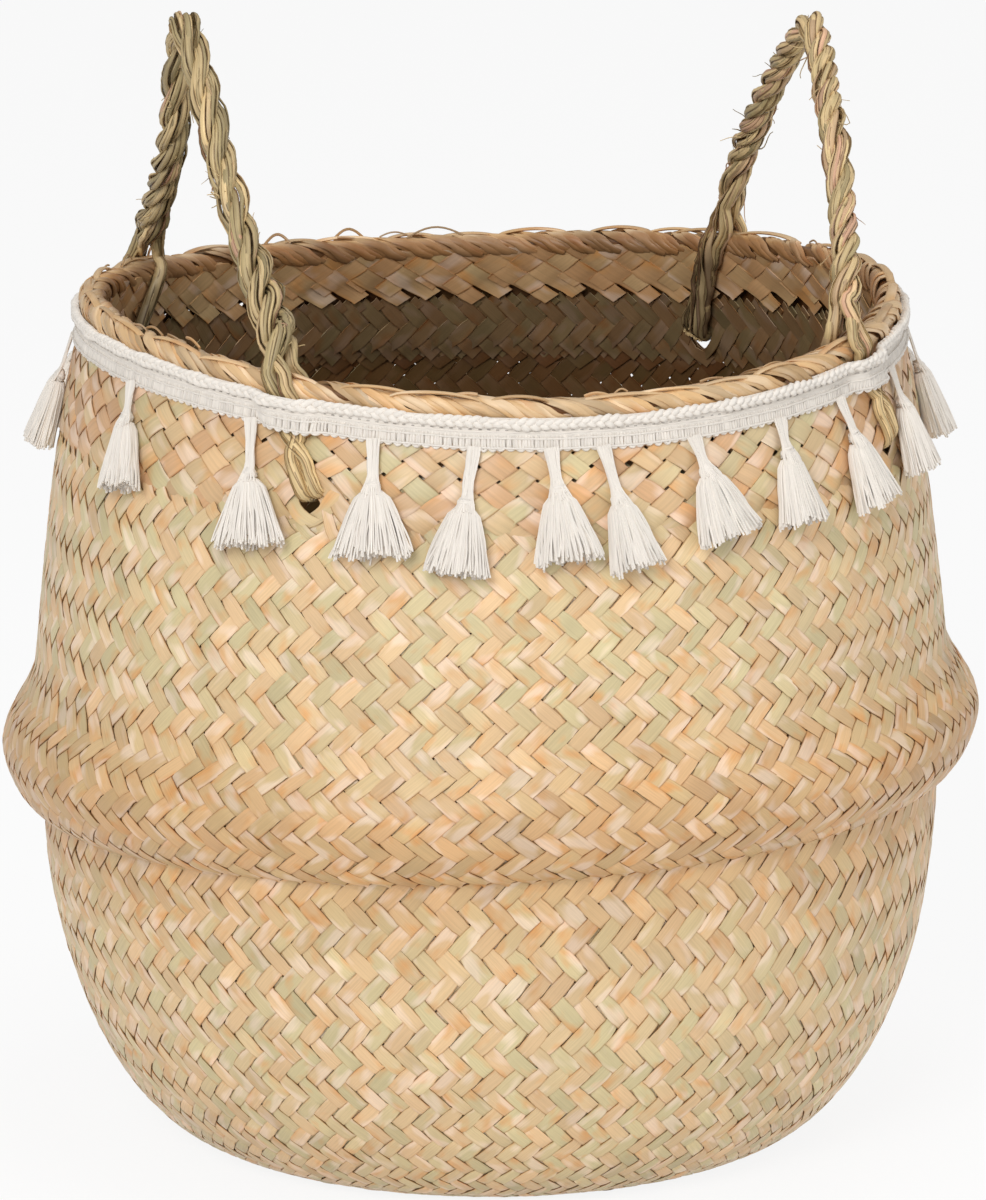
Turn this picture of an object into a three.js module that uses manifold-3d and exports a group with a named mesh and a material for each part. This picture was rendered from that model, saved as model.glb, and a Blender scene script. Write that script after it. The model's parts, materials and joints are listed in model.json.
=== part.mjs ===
// A belly basket woven from flat grass strands. The body bulges into a fold round its waist, and its
// rim has a plaited border with a sewn cotton trim, a row of tassels and two twisted rope handles.
// Millimetres, +Z up. The origin is the middle of the underside, and the handles stand on the X axis.
import * as THREE from "three";
import { mergeVertices } from "three/addons/utils/BufferGeometryUtils.js";
import Module from "manifold-3d";

const wasm = await Module();
wasm.setup();

// Clearance between pieces that touch
const gap = 0.3;

// Woven body
const wallThickness = 3.5;
const baseRadius = 104;
const creaseHeight = 128.5;
const creaseRadius = 165;
const ridgeRise = 23.5;
const ridgeRadius = 180;
const shoulderRise = 31;
const shoulderRadius = 167.4;
const rimHeight = 309;
const mouthRadius = 148.3;
const hemDepth = 45;
const hemThickness = 3;

// How the woven body settles out of true: the rim rises at the handles, and the fold dips at one side
const rimSaddle = 5.5;
const foldDipSide = 6.6;
const foldDipFront = 5;

// Plaited rim border
const borderHeight = 8.5;
const borderOverhang = 1.2;
const borderChamfer = 2;

// Sewn cotton trim
const trimDrop = 5.4;
const cordHeight = 4.2;
const cordDepth = 3.2;
const stitchHeight = 0.7;
const stitchDepth = 1.3;
const tapeHeight = 6.2;
const tapeDepth = 2;

// Tassels
const neckLength = 14;
const neckWidth = 4;
const neckDepth = 2.4;
const headLength = 4;
const headWidth = 9;
const headDepth = 6.5;
const skirtLength = 21;
const skirtWidth = 25;
const skirtDepth = 11;

// Rope handles
const ropeDiameter = 10;
const tailWidth = 11;
const tailThickness = 4;
const holeDrop = 36;
const leftApexHeight = 415;
const rightApexHeight = 405;
const leftLean = 9;
const rightLean = 11;

// Counts and facets
const ringSteps = 64;
const ropeSides = 8;
const ropeSteps = 28;
const ballRings = 6;
const turnSteps = 5;

// Bearings, in degrees about Z from +X: the front, the slant of a rope tail between the rim and its
// hole, and the feet of the handles
const frontBearing = -103.5;
const tailSlant = 5.5;
const leftLegBearings = [-133.3, 138.3];
const rightLegBearings = [-42.8, 38.9];
// Tassels, in order round the rim: [bearing, sideways hang in degrees, skirt width share, neck share]
const tasselShares = [
  [168.5, 0, 0.9, 1], [-160.5, 15, 0.75, 0.8], [-137, 9, 1.06, 1.25], [-119.1, 3, 1.1, 1],
  [-105.8, -8, 0.86, 1.25], [-95.5, 6, 0.9, 0.9], [-88.5, 12, 0.75, 1.2], [-75.6, 13, 0.94, 0.75],
  [-61.5, 0, 0.8, 0.75], [-48.9, 10, 0.9, 0.95], [-32.5, 0, 0.9, 0.8], [-12, -4, 0.85, 0.9],
  [1, 3, 0.9, 1], [15, 0, 1, 0.9], [29, -5, 0.85, 1.1], [54, 4, 1, 1], [68, 8, 0.9, 0.85],
  [82, -6, 1.05, 1.1], [96, 2, 0.9, 1], [109, -3, 1, 0.8], [122, 5, 0.85, 1.1], [154, -4, 0.95, 1],
];

// Leg outlines of the handles: [share of the half spread, share of the height]
const leftLegShares = [
  [1, 0], [0.885, 0.105], [0.7, 0.245], [0.49, 0.4], [0.34, 0.55], [0.24, 0.7], [0.15, 0.86],
  [0.07, 0.96],
];
const rightLegShares = [
  [1, 0], [0.94, 0.12], [0.86, 0.26], [0.73, 0.42], [0.54, 0.62], [0.31, 0.81], [0.14, 0.94],
  [0.05, 0.985],
];

// Roundness of the curves of the outline
const bowlRoundShare = 1.9;
const foldRoundShare = 1.66;
const wallLeanShare = 0.62;

// Stretches of the height over which the body settles, as shares of the crease and rim heights
const dipShares = [0.47, 1.0, 1.17, 2.0];
const saddleStartShare = 0.65;

// Sizes that follow from the ones above
const ridgeHeight = creaseHeight + ridgeRise;
const shoulderHeight = ridgeHeight + shoulderRise;
const borderBottom = rimHeight - borderHeight;
const wallTop = borderBottom - gap;
const hemBottom = wallTop - hemDepth;
const holeHeight = rimHeight - holeDrop;
const cordTop = rimHeight - trimDrop;
const stitchTop = cordTop - cordHeight - gap;
const tapeTop = stitchTop - stitchHeight - gap;
const tapeBottom = tapeTop - tapeHeight;
const hemInnerRadius = mouthRadius - wallThickness - gap - hemThickness;
const borderOuter = mouthRadius + borderOverhang;
const borderInner = hemInnerRadius - borderOverhang;
const ropeRadius = ropeDiameter / 2;
const legRadius = (borderOuter + borderInner) / 2;

const rad = THREE.MathUtils.degToRad;
const step = THREE.MathUtils.smoothstep;

const colours = {
  weave: 0xd9b98a,
  hem: 0xcf9e6c,
  border: 0xd8b274,
  cotton: 0xeeeae2,
  thread: 0xb9b4ab,
  rope: 0x9c8a5a,
};
const materials = {};
for (const [name, colour] of Object.entries(colours)) {
  materials[name] = new THREE.MeshStandardMaterial({ color: colour, roughness: 0.85, metalness: 0 });
}

const basket = new THREE.Group();
basket.name = "belly_basket";

function addPiece(name, geometry, material) {
  const mesh = new THREE.Mesh(geometry, material);
  mesh.name = name;
  basket.add(mesh);
  return mesh;
}

// Outer radius of the upper wall at a height
function wallRadius(height) {
  const share = (height - shoulderHeight) / (wallTop - shoulderHeight);
  const drop = wallLeanShare * share + (1 - wallLeanShare) * share ** 3;
  return shoulderRadius + (mouthRadius - shoulderRadius) * drop;
}

// Lifts a point as the settled body does
function settle(point) {
  const bearing = Math.atan2(point.y, point.x);
  const rim = step(point.z, saddleStartShare * rimHeight, rimHeight);
  const [dipStart, dipFull, dipFade, dipEnd] = dipShares.map((share) => share * creaseHeight);
  const fold = step(point.z, dipStart, dipFull) * (1 - step(point.z, dipFade, dipEnd));
  const facing = rad(frontBearing);
  const front = point.x * Math.cos(facing) + point.y * Math.sin(facing);
  const side = -point.x * Math.sin(facing) + point.y * Math.cos(facing);
  const dip = (foldDipSide * side + foldDipFront * front) / creaseRadius;
  point.z += rimSaddle * Math.cos(2 * bearing) * rim + dip * fold;
  return point;
}

// A closed ring: an outline of [radius, height] points carried round at the given bearings
function ringAround(outline, bearings, bulge = () => 0) {
  const positions = [];
  const index = [];
  const count = outline.length;
  bearings.forEach((bearing, i) => {
    const next = (i + 1) % bearings.length;
    outline.forEach(([radius, height], j) => {
      const r = radius + bulge(bearing);
      const point = new THREE.Vector3(r * Math.cos(bearing), r * Math.sin(bearing), height);
      settle(point);
      positions.push(point.x, point.y, point.z);
      const k = (j + 1) % count;
      const a = i * count + j;
      const b = next * count + j;
      const c = next * count + k;
      const d = i * count + k;
      index.push(a, b, c, a, c, d);
    });
  });
  const geometry = new THREE.BufferGeometry();
  geometry.setAttribute("position", new THREE.Float32BufferAttribute(positions, 3));
  geometry.setIndex(index);
  return geometry;
}

// A closed tube through stations, each with a centre and the half axes of its oval section
function loft(stations) {
  const positions = [];
  const index = [];
  const last = stations.length - 1;
  for (const { centre, side, out } of stations) {
    for (let i = 0; i < ropeSides; i += 1) {
      const angle = (2 * Math.PI * i) / ropeSides;
      const point = centre.clone();
      point.addScaledVector(side, Math.cos(angle)).addScaledVector(out, Math.sin(angle));
      positions.push(point.x, point.y, point.z);
    }
  }
  for (let s = 0; s < last; s += 1) {
    for (let i = 0; i < ropeSides; i += 1) {
      const a = s * ropeSides + i;
      const b = s * ropeSides + ((i + 1) % ropeSides);
      index.push(a, b, b + ropeSides, a, b + ropeSides, a + ropeSides);
    }
  }
  for (let i = 1; i < ropeSides - 1; i += 1) {
    index.push(0, i + 1, i);
    index.push(last * ropeSides, last * ropeSides + i, last * ropeSides + i + 1);
  }
  const geometry = new THREE.BufferGeometry();
  geometry.setAttribute("position", new THREE.Float32BufferAttribute(positions, 3));
  geometry.setIndex(index);
  return geometry;
}

// Solids of the boolean library, from and to geometry
function toSolid(geometry) {
  const bare = geometry.clone();
  bare.deleteAttribute("normal");
  bare.deleteAttribute("uv");
  const merged = mergeVertices(bare);
  return new wasm.Manifold(
    new wasm.Mesh({
      numProp: 3,
      vertProperties: merged.attributes.position.array,
      triVerts: new Uint32Array(merged.index.array),
    }),
  );
}

function toGeometry(solid) {
  const mesh = solid.getMesh();
  const geometry = new THREE.BufferGeometry();
  geometry.setAttribute("position", new THREE.BufferAttribute(mesh.vertProperties, 3));
  geometry.setIndex(new THREE.BufferAttribute(mesh.triVerts, 1));
  geometry.computeVertexNormals();
  return geometry;
}

// Evenly spaced bearings all the way round
const evenBearings = [];
for (let i = 0; i < ringSteps; i += 1) {
  evenBearings.push((2 * Math.PI * i) / ringSteps);
}

// A wall of even thickness inside an outline that runs upwards. Its two ends are cut level.
function wallOutline(outer) {
  const inner = outer.map(([radius, height], i) => {
    if (i === 0 || i === outer.length - 1) {
      return [radius - wallThickness, height];
    }
    const before = outer[i - 1];
    const after = outer[i + 1];
    const run = new THREE.Vector2(after[0] - before[0], after[1] - before[1]).normalize();
    return [radius - wallThickness * run.y, height + wallThickness * run.x];
  });
  return [...outer, ...inner.reverse()];
}

// Woven body: the flat mat of the base
function makeBaseMat() {
  const radius = baseRadius - gap;
  const mat = new THREE.CylinderGeometry(radius, radius, wallThickness, ringSteps);
  mat.rotateX(Math.PI / 2);
  mat.translate(0, 0, wallThickness / 2);
  addPiece("base_mat", mat, materials.weave);
}

// Woven body: the round bowl from the base up to the crease
function makeLowerBowl() {
  const steps = 6;
  const outer = [];
  for (let i = 0; i <= steps; i += 1) {
    const turn = ((Math.PI / 2) * i) / steps;
    const spread = Math.sin(turn) ** (2 / bowlRoundShare);
    const rise = 1 - Math.cos(turn) ** (2 / bowlRoundShare);
    outer.push([
      baseRadius + (creaseRadius - baseRadius) * spread,
      (creaseHeight - gap) * rise,
    ]);
  }
  const outline = wallOutline(outer);
  outline[outline.length - 1] = [baseRadius, wallThickness];
  addPiece("lower_bowl", ringAround(outline, evenBearings), materials.weave);
}

// Woven body: the belly fold, which swells to the ridge and draws in again to the shoulder
function makeBellyFold() {
  const stepsBelow = 3;
  const stepsAbove = 4;
  const outer = [];
  for (let i = 0; i < stepsBelow; i += 1) {
    const turn = ((Math.PI / 2) * i) / stepsBelow;
    const spread = Math.sin(turn) ** (2 / foldRoundShare);
    const rise = 1 - Math.cos(turn) ** (2 / foldRoundShare);
    outer.push([
      creaseRadius + (ridgeRadius - creaseRadius) * spread,
      creaseHeight + ridgeRise * rise,
    ]);
  }
  for (let i = 0; i <= stepsAbove; i += 1) {
    const share = i / stepsAbove;
    outer.push([
      ridgeRadius + (shoulderRadius - ridgeRadius) * step(share, 0, 1),
      ridgeHeight + (shoulderRise - gap) * share,
    ]);
  }
  addPiece("belly_fold", ringAround(wallOutline(outer), evenBearings), materials.weave);
}

// Places on the rim where a rope tail goes down outside the wall, through a hole and up inside it
const anchors = [
  { name: "left_front", bearing: leftLegBearings[0] },
  { name: "left_back", bearing: leftLegBearings[1] },
  { name: "right_front", bearing: rightLegBearings[0] },
  { name: "right_back", bearing: rightLegBearings[1] },
];

// Bearing of a tail at a height
function tailBearing(anchor, height) {
  return rad(anchor.bearing + (tailSlant * (rimHeight - height)) / holeDrop);
}

// Inner radius of the hem at a height
function hemRadius(height) {
  return wallRadius(height) - wallThickness - gap - hemThickness;
}

// Middle of a tail outside the wall and inside the hem, where it also passes the border
const tailHalf = tailThickness / 2;

function outerTailRadius(height) {
  const face = height > wallTop ? borderOuter : wallRadius(height);
  return face + gap + tailHalf;
}

function innerTailRadius(height) {
  const face = height > wallTop ? borderInner : hemRadius(height);
  return face - gap - tailHalf;
}

// The half turn that a tail makes through its hole
const turnTop = holeHeight + tailHalf;
const turnRadius = (outerTailRadius(turnTop) - innerTailRadius(turnTop)) / 2;
const turnCentre = innerTailRadius(turnTop) + turnRadius;

// A hole for each tail, cut through the wall and the hem
function cutRopeHoles(geometry) {
  const slack = 2 * gap;
  const width = tailWidth + 2 * slack;
  const height = turnRadius + tailHalf + 2 * slack;
  const middle = turnTop + slack - height / 2;
  const depth = 2 * (turnRadius + tailThickness);
  let solid = toSolid(geometry);
  for (const anchor of anchors) {
    const box = new THREE.BoxGeometry(depth, width, height);
    const bearing = tailBearing(anchor, holeHeight);
    const centre = new THREE.Vector3(turnCentre * Math.cos(bearing), turnCentre * Math.sin(bearing), middle);
    settle(centre);
    box.rotateZ(bearing);
    box.translate(centre.x, centre.y, centre.z);
    solid = solid.subtract(toSolid(box));
  }
  return toGeometry(solid);
}

// Woven body: the upper wall from the shoulder to the border
function makeUpperWall() {
  const steps = 5;
  const outer = [];
  for (let i = 0; i <= steps; i += 1) {
    const height = shoulderHeight + ((wallTop - shoulderHeight) * i) / steps;
    outer.push([wallRadius(height), height]);
  }
  const wall = ringAround(wallOutline(outer), evenBearings);
  addPiece("upper_wall", cutRopeHoles(wall), materials.weave);
}

// Woven body: the strand ends, turned down inside the mouth and woven in again
function makeHemBand() {
  const steps = 3;
  const outer = [];
  const inner = [];
  for (let i = 0; i <= steps; i += 1) {
    const height = hemBottom + ((wallTop - hemBottom) * i) / steps;
    outer.push([hemRadius(height) + hemThickness, height]);
    inner.unshift([hemRadius(height), height]);
  }
  const hem = ringAround([...outer, ...inner], evenBearings);
  addPiece("hem_band", cutRopeHoles(hem), materials.hem);
}

// Plaited border that caps the wall and the hem
function makeRimBorder() {
  const outline = [
    [borderInner + borderChamfer, borderBottom],
    [borderOuter - borderChamfer / 2, borderBottom],
    [borderOuter, borderBottom + borderChamfer],
    [borderOuter, rimHeight - borderChamfer],
    [borderOuter - borderChamfer, rimHeight],
    [borderInner + borderChamfer, rimHeight],
    [borderInner, rimHeight - borderChamfer],
    [borderInner, borderBottom + borderChamfer],
  ];
  addPiece("rim_border", ringAround(outline, evenBearings), materials.border);
}

// The trim runs over each tail, so it stands out there by the tail's thickness
const bulgeFlat = (tailWidth / 2 + gap) / legRadius;
const bulgeFoot = (tailWidth + gap) / legRadius;

function trimBulge(height) {
  return (bearing) => {
    let most = 0;
    for (const anchor of anchors) {
      const away = Math.abs(bearing - tailBearing(anchor, height));
      const turn = Math.min(away, 2 * Math.PI - away);
      most = Math.max(most, 1 - step(turn, bulgeFlat, bulgeFoot));
    }
    return most * (tailThickness + gap);
  };
}

// Bearings of a trim ring: even ones, and four at each tail in place of the ones that it covers
function trimBearings(height) {
  const slack = rad(tailSlant) / 4;
  const corners = [-bulgeFoot, -bulgeFlat, bulgeFlat, bulgeFoot];
  const kept = evenBearings.filter((bearing) =>
    anchors.every((anchor) => {
      const away = Math.abs(Math.sin((bearing - tailBearing(anchor, height)) / 2));
      return away > Math.sin((bulgeFoot + slack) / 2);
    }),
  );
  for (const anchor of anchors) {
    for (const corner of corners) {
      const bearing = tailBearing(anchor, height) + corner;
      kept.push((bearing + 2 * Math.PI) % (2 * Math.PI));
    }
  }
  return kept.sort((a, b) => a - b);
}

function makeTrimRing(name, outline, height, material) {
  addPiece(name, ringAround(outline, trimBearings(height), trimBulge(height)), material);
}

// Sewn trim: a chain-stitched cord above, a row of stitches and a ribbed tape below
function makeTrim() {
  const cordInner = borderOuter + gap;
  const cordBottom = cordTop - cordHeight;
  const round = cordHeight / 4;
  makeTrimRing(
    "trim_cord",
    [
      [cordInner, cordBottom],
      [cordInner + cordDepth - round, cordBottom],
      [cordInner + cordDepth, cordBottom + round],
      [cordInner + cordDepth, cordTop - round],
      [cordInner + cordDepth - round, cordTop],
      [cordInner, cordTop],
    ],
    cordTop - cordHeight / 2,
    materials.cotton,
  );
  const stitchBottom = stitchTop - stitchHeight;
  const stitchInner = wallRadius(stitchBottom) + gap;
  makeTrimRing(
    "trim_stitching",
    [
      [stitchInner, stitchBottom],
      [stitchInner + stitchDepth, stitchBottom],
      [stitchInner + stitchDepth, stitchTop],
      [stitchInner, stitchTop],
    ],
    stitchTop,
    materials.thread,
  );
  makeTrimRing(
    "trim_tape",
    [
      [wallRadius(tapeBottom) + gap, tapeBottom],
      [wallRadius(tapeBottom) + gap + tapeDepth, tapeBottom],
      [wallRadius(tapeTop) + gap + tapeDepth, tapeTop],
      [wallRadius(tapeTop) + gap, tapeTop],
    ],
    tapeTop - tapeHeight / 2,
    materials.cotton,
  );
}

// A tassel hangs from the tape and lies along the wall. Its neck, tied head and skirt are one bundle.
function makeTassel(name, bearing, sway, skirtShare, neckShare) {
  const neck = neckLength * neckShare;
  const length = neck + headLength + skirtLength;
  const lean = Math.atan2(wallRadius(tapeBottom - length) - wallRadius(tapeBottom), length);
  const top = tapeBottom - gap - neckDepth * Math.sin(lean);
  const knot = top - length / 2;
  const lift = wallRadius(knot) - wallRadius(top) - (length / 2) * Math.tan(lean);
  const topRadius = wallRadius(top) + lift + gap;
  const outward = new THREE.Vector3(Math.cos(bearing), Math.sin(bearing), 0);
  const face = outward.clone().multiplyScalar(Math.cos(lean)).setZ(Math.sin(lean));
  const across = new THREE.Vector3(-Math.sin(bearing), Math.cos(bearing), 0);
  const down = outward.clone().multiplyScalar(Math.sin(lean)).setZ(-Math.cos(lean));
  down.applyAxisAngle(face, sway);
  across.applyAxisAngle(face, sway);
  const origin = settle(outward.clone().multiplyScalar(topRadius).setZ(top));
  const skirt = skirtWidth * skirtShare;
  const widths = [
    [0, neckWidth, neckDepth],
    [neck, neckWidth, neckDepth],
    [neck + headLength / 3, headWidth, headDepth],
    [neck + headLength, headWidth, headDepth],
    [neck + headLength + skirtLength / 3, (headWidth + skirt) / 2, (headDepth + skirtDepth) / 2],
    [length, skirt, skirtDepth],
  ];
  const stations = widths.map(([reach, width, depth]) => ({
    centre: origin.clone().addScaledVector(down, reach).addScaledVector(face, depth / 2),
    side: across.clone().multiplyScalar(width / 2),
    out: face.clone().multiplyScalar(depth / 2),
  }));
  addPiece(name, loft(stations), materials.cotton);
}

// A rope tail: down outside the border and the wall, through its hole and up inside the hem
function makeTail(anchor) {
  const proudTop = rimHeight - gap;
  const heights = [proudTop, borderBottom + gap, tapeTop, tapeBottom, (tapeBottom + turnTop) / 2];
  const path = heights.map((height) => [outerTailRadius(height), height]);
  for (let i = 0; i <= turnSteps; i += 1) {
    const turn = (Math.PI * i) / turnSteps;
    path.push([
      turnCentre + turnRadius * Math.cos(turn),
      turnTop - turnRadius * Math.sin(turn),
    ]);
  }
  for (const height of [...heights].reverse()) {
    path.push([innerTailRadius(height), height]);
  }
  const stations = path.map(([radius, height], i) => {
    const before = path[Math.max(i - 1, 0)];
    const after = path[Math.min(i + 1, path.length - 1)];
    const run = new THREE.Vector2(after[0] - before[0], after[1] - before[1]).normalize();
    const bearing = tailBearing(anchor, Math.max(height, holeHeight));
    const outward = new THREE.Vector3(Math.cos(bearing), Math.sin(bearing), 0);
    const across = new THREE.Vector3(-Math.sin(bearing), Math.cos(bearing), 0);
    const normal = outward.clone().multiplyScalar(-run.y);
    normal.z = run.x;
    return {
      centre: settle(outward.clone().multiplyScalar(radius).setZ(height)),
      side: across.multiplyScalar(tailWidth / 2),
      out: normal.multiplyScalar(tailHalf),
    };
  });
  addPiece("tail_" + anchor.name, loft(stations), materials.rope);
}

// Centre of the rounded end of a handle leg, just above the border
function legFoot(bearing) {
  const angle = rad(bearing);
  const foot = new THREE.Vector3(legRadius * Math.cos(angle), legRadius * Math.sin(angle), rimHeight);
  settle(foot);
  foot.z += gap + ropeRadius;
  return foot;
}

// A rope handle: two legs that rise from the rim and meet in a tight bend
function makeHandle(name, bearings, apexHeight, lean, shares) {
  const feet = bearings.map(legFoot);
  const middle = feet[0].clone().add(feet[1]).multiplyScalar(0.5);
  const outward = Math.sign(middle.x);
  const apex = new THREE.Vector3(middle.x + outward * lean, 0, apexHeight);
  const legs = feet.map((foot) =>
    shares.map(([spread, rise]) => {
      const point = new THREE.Vector3();
      point.x = foot.x + (apex.x - foot.x) * rise;
      point.y = apex.y + (foot.y - apex.y) * spread;
      point.z = foot.z + (apex.z - foot.z) * rise;
      return point;
    }),
  );
  const path = new THREE.CatmullRomCurve3([...legs[0], apex, ...legs[1].reverse()]);
  const section = new THREE.Shape();
  section.absarc(0, 0, ropeRadius, 0, 2 * Math.PI);
  const rope = new THREE.ExtrudeGeometry(section, {
    steps: ropeSteps,
    curveSegments: ropeSides / 2,
    extrudePath: path,
  });
  let solid = toSolid(rope);
  for (const foot of feet) {
    const ball = new THREE.SphereGeometry(ropeRadius, ropeSides, ballRings);
    ball.rotateX(Math.PI / 2);
    ball.translate(foot.x, foot.y, foot.z);
    solid = solid.add(toSolid(ball));
  }
  addPiece(name, toGeometry(solid), materials.rope);
}

makeBaseMat();
makeLowerBowl();
makeBellyFold();
makeUpperWall();
makeHemBand();
makeRimBorder();
makeTrim();
anchors.forEach(makeTail);
makeHandle("handle_left", leftLegBearings, leftApexHeight, leftLean, leftLegShares);
makeHandle("handle_right", rightLegBearings, rightApexHeight, rightLean, rightLegShares);
tasselShares.forEach(([bearing, sway, skirtShare, neckShare], i) => {
  const number = String(i + 1).padStart(2, "0");
  makeTassel("tassel_" + number, rad(bearing), rad(sway), skirtShare, neckShare);
});

export default basket;
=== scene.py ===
"""A belly basket woven from flat grass strands, with a plaited rim, a sewn cotton trim with tassels and two
twisted rope handles. Everything is in metres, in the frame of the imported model: +Z up, handles along X."""

import json
import math

import bmesh
import bpy
import numpy as np
from mathutils import Matrix, Vector


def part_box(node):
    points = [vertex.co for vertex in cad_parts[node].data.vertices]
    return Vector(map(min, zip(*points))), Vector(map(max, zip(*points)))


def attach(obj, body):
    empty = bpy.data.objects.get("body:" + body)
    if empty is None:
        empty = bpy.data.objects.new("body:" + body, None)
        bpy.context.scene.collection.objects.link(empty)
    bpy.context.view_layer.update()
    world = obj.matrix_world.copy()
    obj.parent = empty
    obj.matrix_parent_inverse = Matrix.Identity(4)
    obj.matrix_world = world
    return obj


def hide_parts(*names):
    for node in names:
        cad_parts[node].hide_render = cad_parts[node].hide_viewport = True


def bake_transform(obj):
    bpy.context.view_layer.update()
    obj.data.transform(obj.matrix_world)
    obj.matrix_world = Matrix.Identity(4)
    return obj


bl_info = {
    "name": "Belly Basket",
    "version": (1, 0, 0),
    "blender": (4, 5, 0),
    "location": "View3D > Sidebar > Basket",
    "description": "Builds a woven belly basket with rope handles and a tassel trim around its frame",
    "category": "Add Mesh",
}

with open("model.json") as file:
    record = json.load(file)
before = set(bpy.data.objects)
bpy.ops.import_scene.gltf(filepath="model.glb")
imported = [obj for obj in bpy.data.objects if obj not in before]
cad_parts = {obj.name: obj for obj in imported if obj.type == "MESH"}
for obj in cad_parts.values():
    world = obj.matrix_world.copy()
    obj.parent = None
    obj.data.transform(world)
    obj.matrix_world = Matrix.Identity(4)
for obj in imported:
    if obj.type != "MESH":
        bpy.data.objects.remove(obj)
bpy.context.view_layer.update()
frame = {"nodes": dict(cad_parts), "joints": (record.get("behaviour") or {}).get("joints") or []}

MM = 0.001
FULL = 2 * math.pi

# Outline of the woven body, as in the frame
BASE_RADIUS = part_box("base_mat")[1].x
RIDGE_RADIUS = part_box("belly_fold")[1].x
CREASE_HEIGHT = 128.5 * MM
CREASE_RADIUS = 165 * MM
RIDGE_RISE = 23.5 * MM
SHOULDER_RISE = 31 * MM
SHOULDER_RADIUS = 167.4 * MM
SHOULDER_HEIGHT = CREASE_HEIGHT + RIDGE_RISE + SHOULDER_RISE
RIM_HEIGHT = 309 * MM
BORDER_HEIGHT = 8.5 * MM
GAP = 0.3 * MM
WALL_TOP = RIM_HEIGHT - BORDER_HEIGHT - GAP
MOUTH_RADIUS = 148.3 * MM
WALL_THICKNESS = 3.5 * MM
HEM_THICKNESS = 3 * MM
BOWL_ROUND = 2 / 1.9
FOLD_ROUND = 2 / 1.66
WALL_LEAN = 0.62
BORDER_OUTER = MOUTH_RADIUS + 1.2 * MM
BORDER_INNER = MOUTH_RADIUS - WALL_THICKNESS - GAP - HEM_THICKNESS - 1.2 * MM
BORDER_MIDDLE = (BORDER_OUTER + BORDER_INNER) / 2
BORDER_HALF = (BORDER_OUTER - BORDER_INNER) / 2
BORDER_LEVEL = RIM_HEIGHT - BORDER_HEIGHT / 2

# How the body settles out of true
RIM_SADDLE = 5.5 * MM
DIP_SIDE = 6.6 * MM
DIP_FRONT = 5 * MM
FRONT_BEARING = math.radians(-103.5)
DIP_STARTS = (0.47 * CREASE_HEIGHT, CREASE_HEIGHT, 1.17 * CREASE_HEIGHT, 2 * CREASE_HEIGHT)
SADDLE_START = 0.65 * RIM_HEIGHT

# Painted shade and warm bounce light round the fold, which make it darker and more amber than the rest
WARM_SHADE_HEIGHT = CREASE_HEIGHT + 14 * MM
WARM_SHADE_REACH = 34 * MM

# Twill that repeats every four crossings, how far it reaches under the base's edge, and the lower edges of the
# broad hem outside and inside
TWILL = 4
BASE_TUCK = 9 * MM
HEM_LOW = 264 * MM
HEM_FOLD = 286 * MM

# How uneven a strand is in width, place, tilt, height and shade, and how far its edges droop
WIDEST = 1.03
UNEVEN_WIDTH = 0.025
UNEVEN_PLACE = 0.035
UNEVEN_TILT = 0.1 * MM
UNEVEN_RISE = 0.05 * MM
STRAND_SHADE = 0.6
CAMBER = 0.12 * MM

# How strands are laid out before they are placed: a slab's share of the step from one to the next, the steps of
# random change along one, how far apart the patterns of neighbours lie, the length of tube for one unit of
# pattern, and how close points have to be to be merged
SLAB_WIDTH = 0.8
TABLE_STEPS = 64
STRAND_STEP = 37.7
TUBE_STEP = 13.1
PATTERN_LENGTH = 10 * MM
SEAM = 1e-6

# Trim, from its cord down to the lower edge of its tape
CORD_TOP = RIM_HEIGHT - 5.4 * MM
CORD_HEIGHT = 4.2 * MM
STITCH_HEIGHT = CORD_TOP - CORD_HEIGHT - 0.65 * MM
TAPE_TOP = STITCH_HEIGHT - 0.65 * MM
TAPE_HEIGHT = 6.2 * MM
TAPE_LOW = TAPE_TOP - TAPE_HEIGHT

# Tassels: points along a thread, threads in the neck, turns round the head, their radius, the head's size, and
# the angle from one thread inside the skirt to the next
THREAD_POINTS = 10
NECK_THREADS = 24
HEAD_WRAPS = 4
YARN_RADIUS = 0.42 * MM
HEAD_HEIGHT = 4 * MM
HEAD_WIDE = 3.5 * MM
HEAD_DEEP = 2.6 * MM
SPIRAL_STEP = 2.4

# Border: strands in a bundle, how a bundle is wrapped in degrees and in length, where it is frayed in radians,
# and what is loose on top. The arches at the back have a bearing in degrees and a length in millimetres
PLAIT_STRANDS = 3
BORDER_STRAND = 0.6 * MM
WRAP_START = -62
WRAP_TURN = 290
WRAP_LENGTH = 34 * MM
FRAYED_BEARING = -0.15
FRAYED_WIDTH = 0.32
FRAYED_MORE = 2.2
LASHES = 34
LOOSE_ENDS = 24
BACK_ARCHES = ((145, 15), (136, 9), (110, 10), (85, 22), (98, 12))
ARCH_RISE = 3.6 * MM

# Rope handles and the tails that pass through the wall
ROPE_RADIUS = 5 * MM
ROPE_SPAN = 360 * MM
GOLDEN_TONE = 0.62
TAIL_WIDTH = 11 * MM
TAIL_THICKNESS = 4 * MM
TAIL_SLANT = math.radians(5.5)
HOLE_DROP = 36 * MM
HOLE_RADII = (5.1 * MM, 2.6 * MM, 5.0 * MM, 4.2 * MM)
TUFT_HEIGHT = 362 * MM
LOOSE_FIBRES = 84
TUFT_FIBRES = 14
GRASS_RADIUS = 0.46 * MM
PLY_RADIUS_IN_MM = 2.3
TAIL_BROAD_IN_MM = 2.2
TAIL_DEEP = 1.2 * MM

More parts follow.
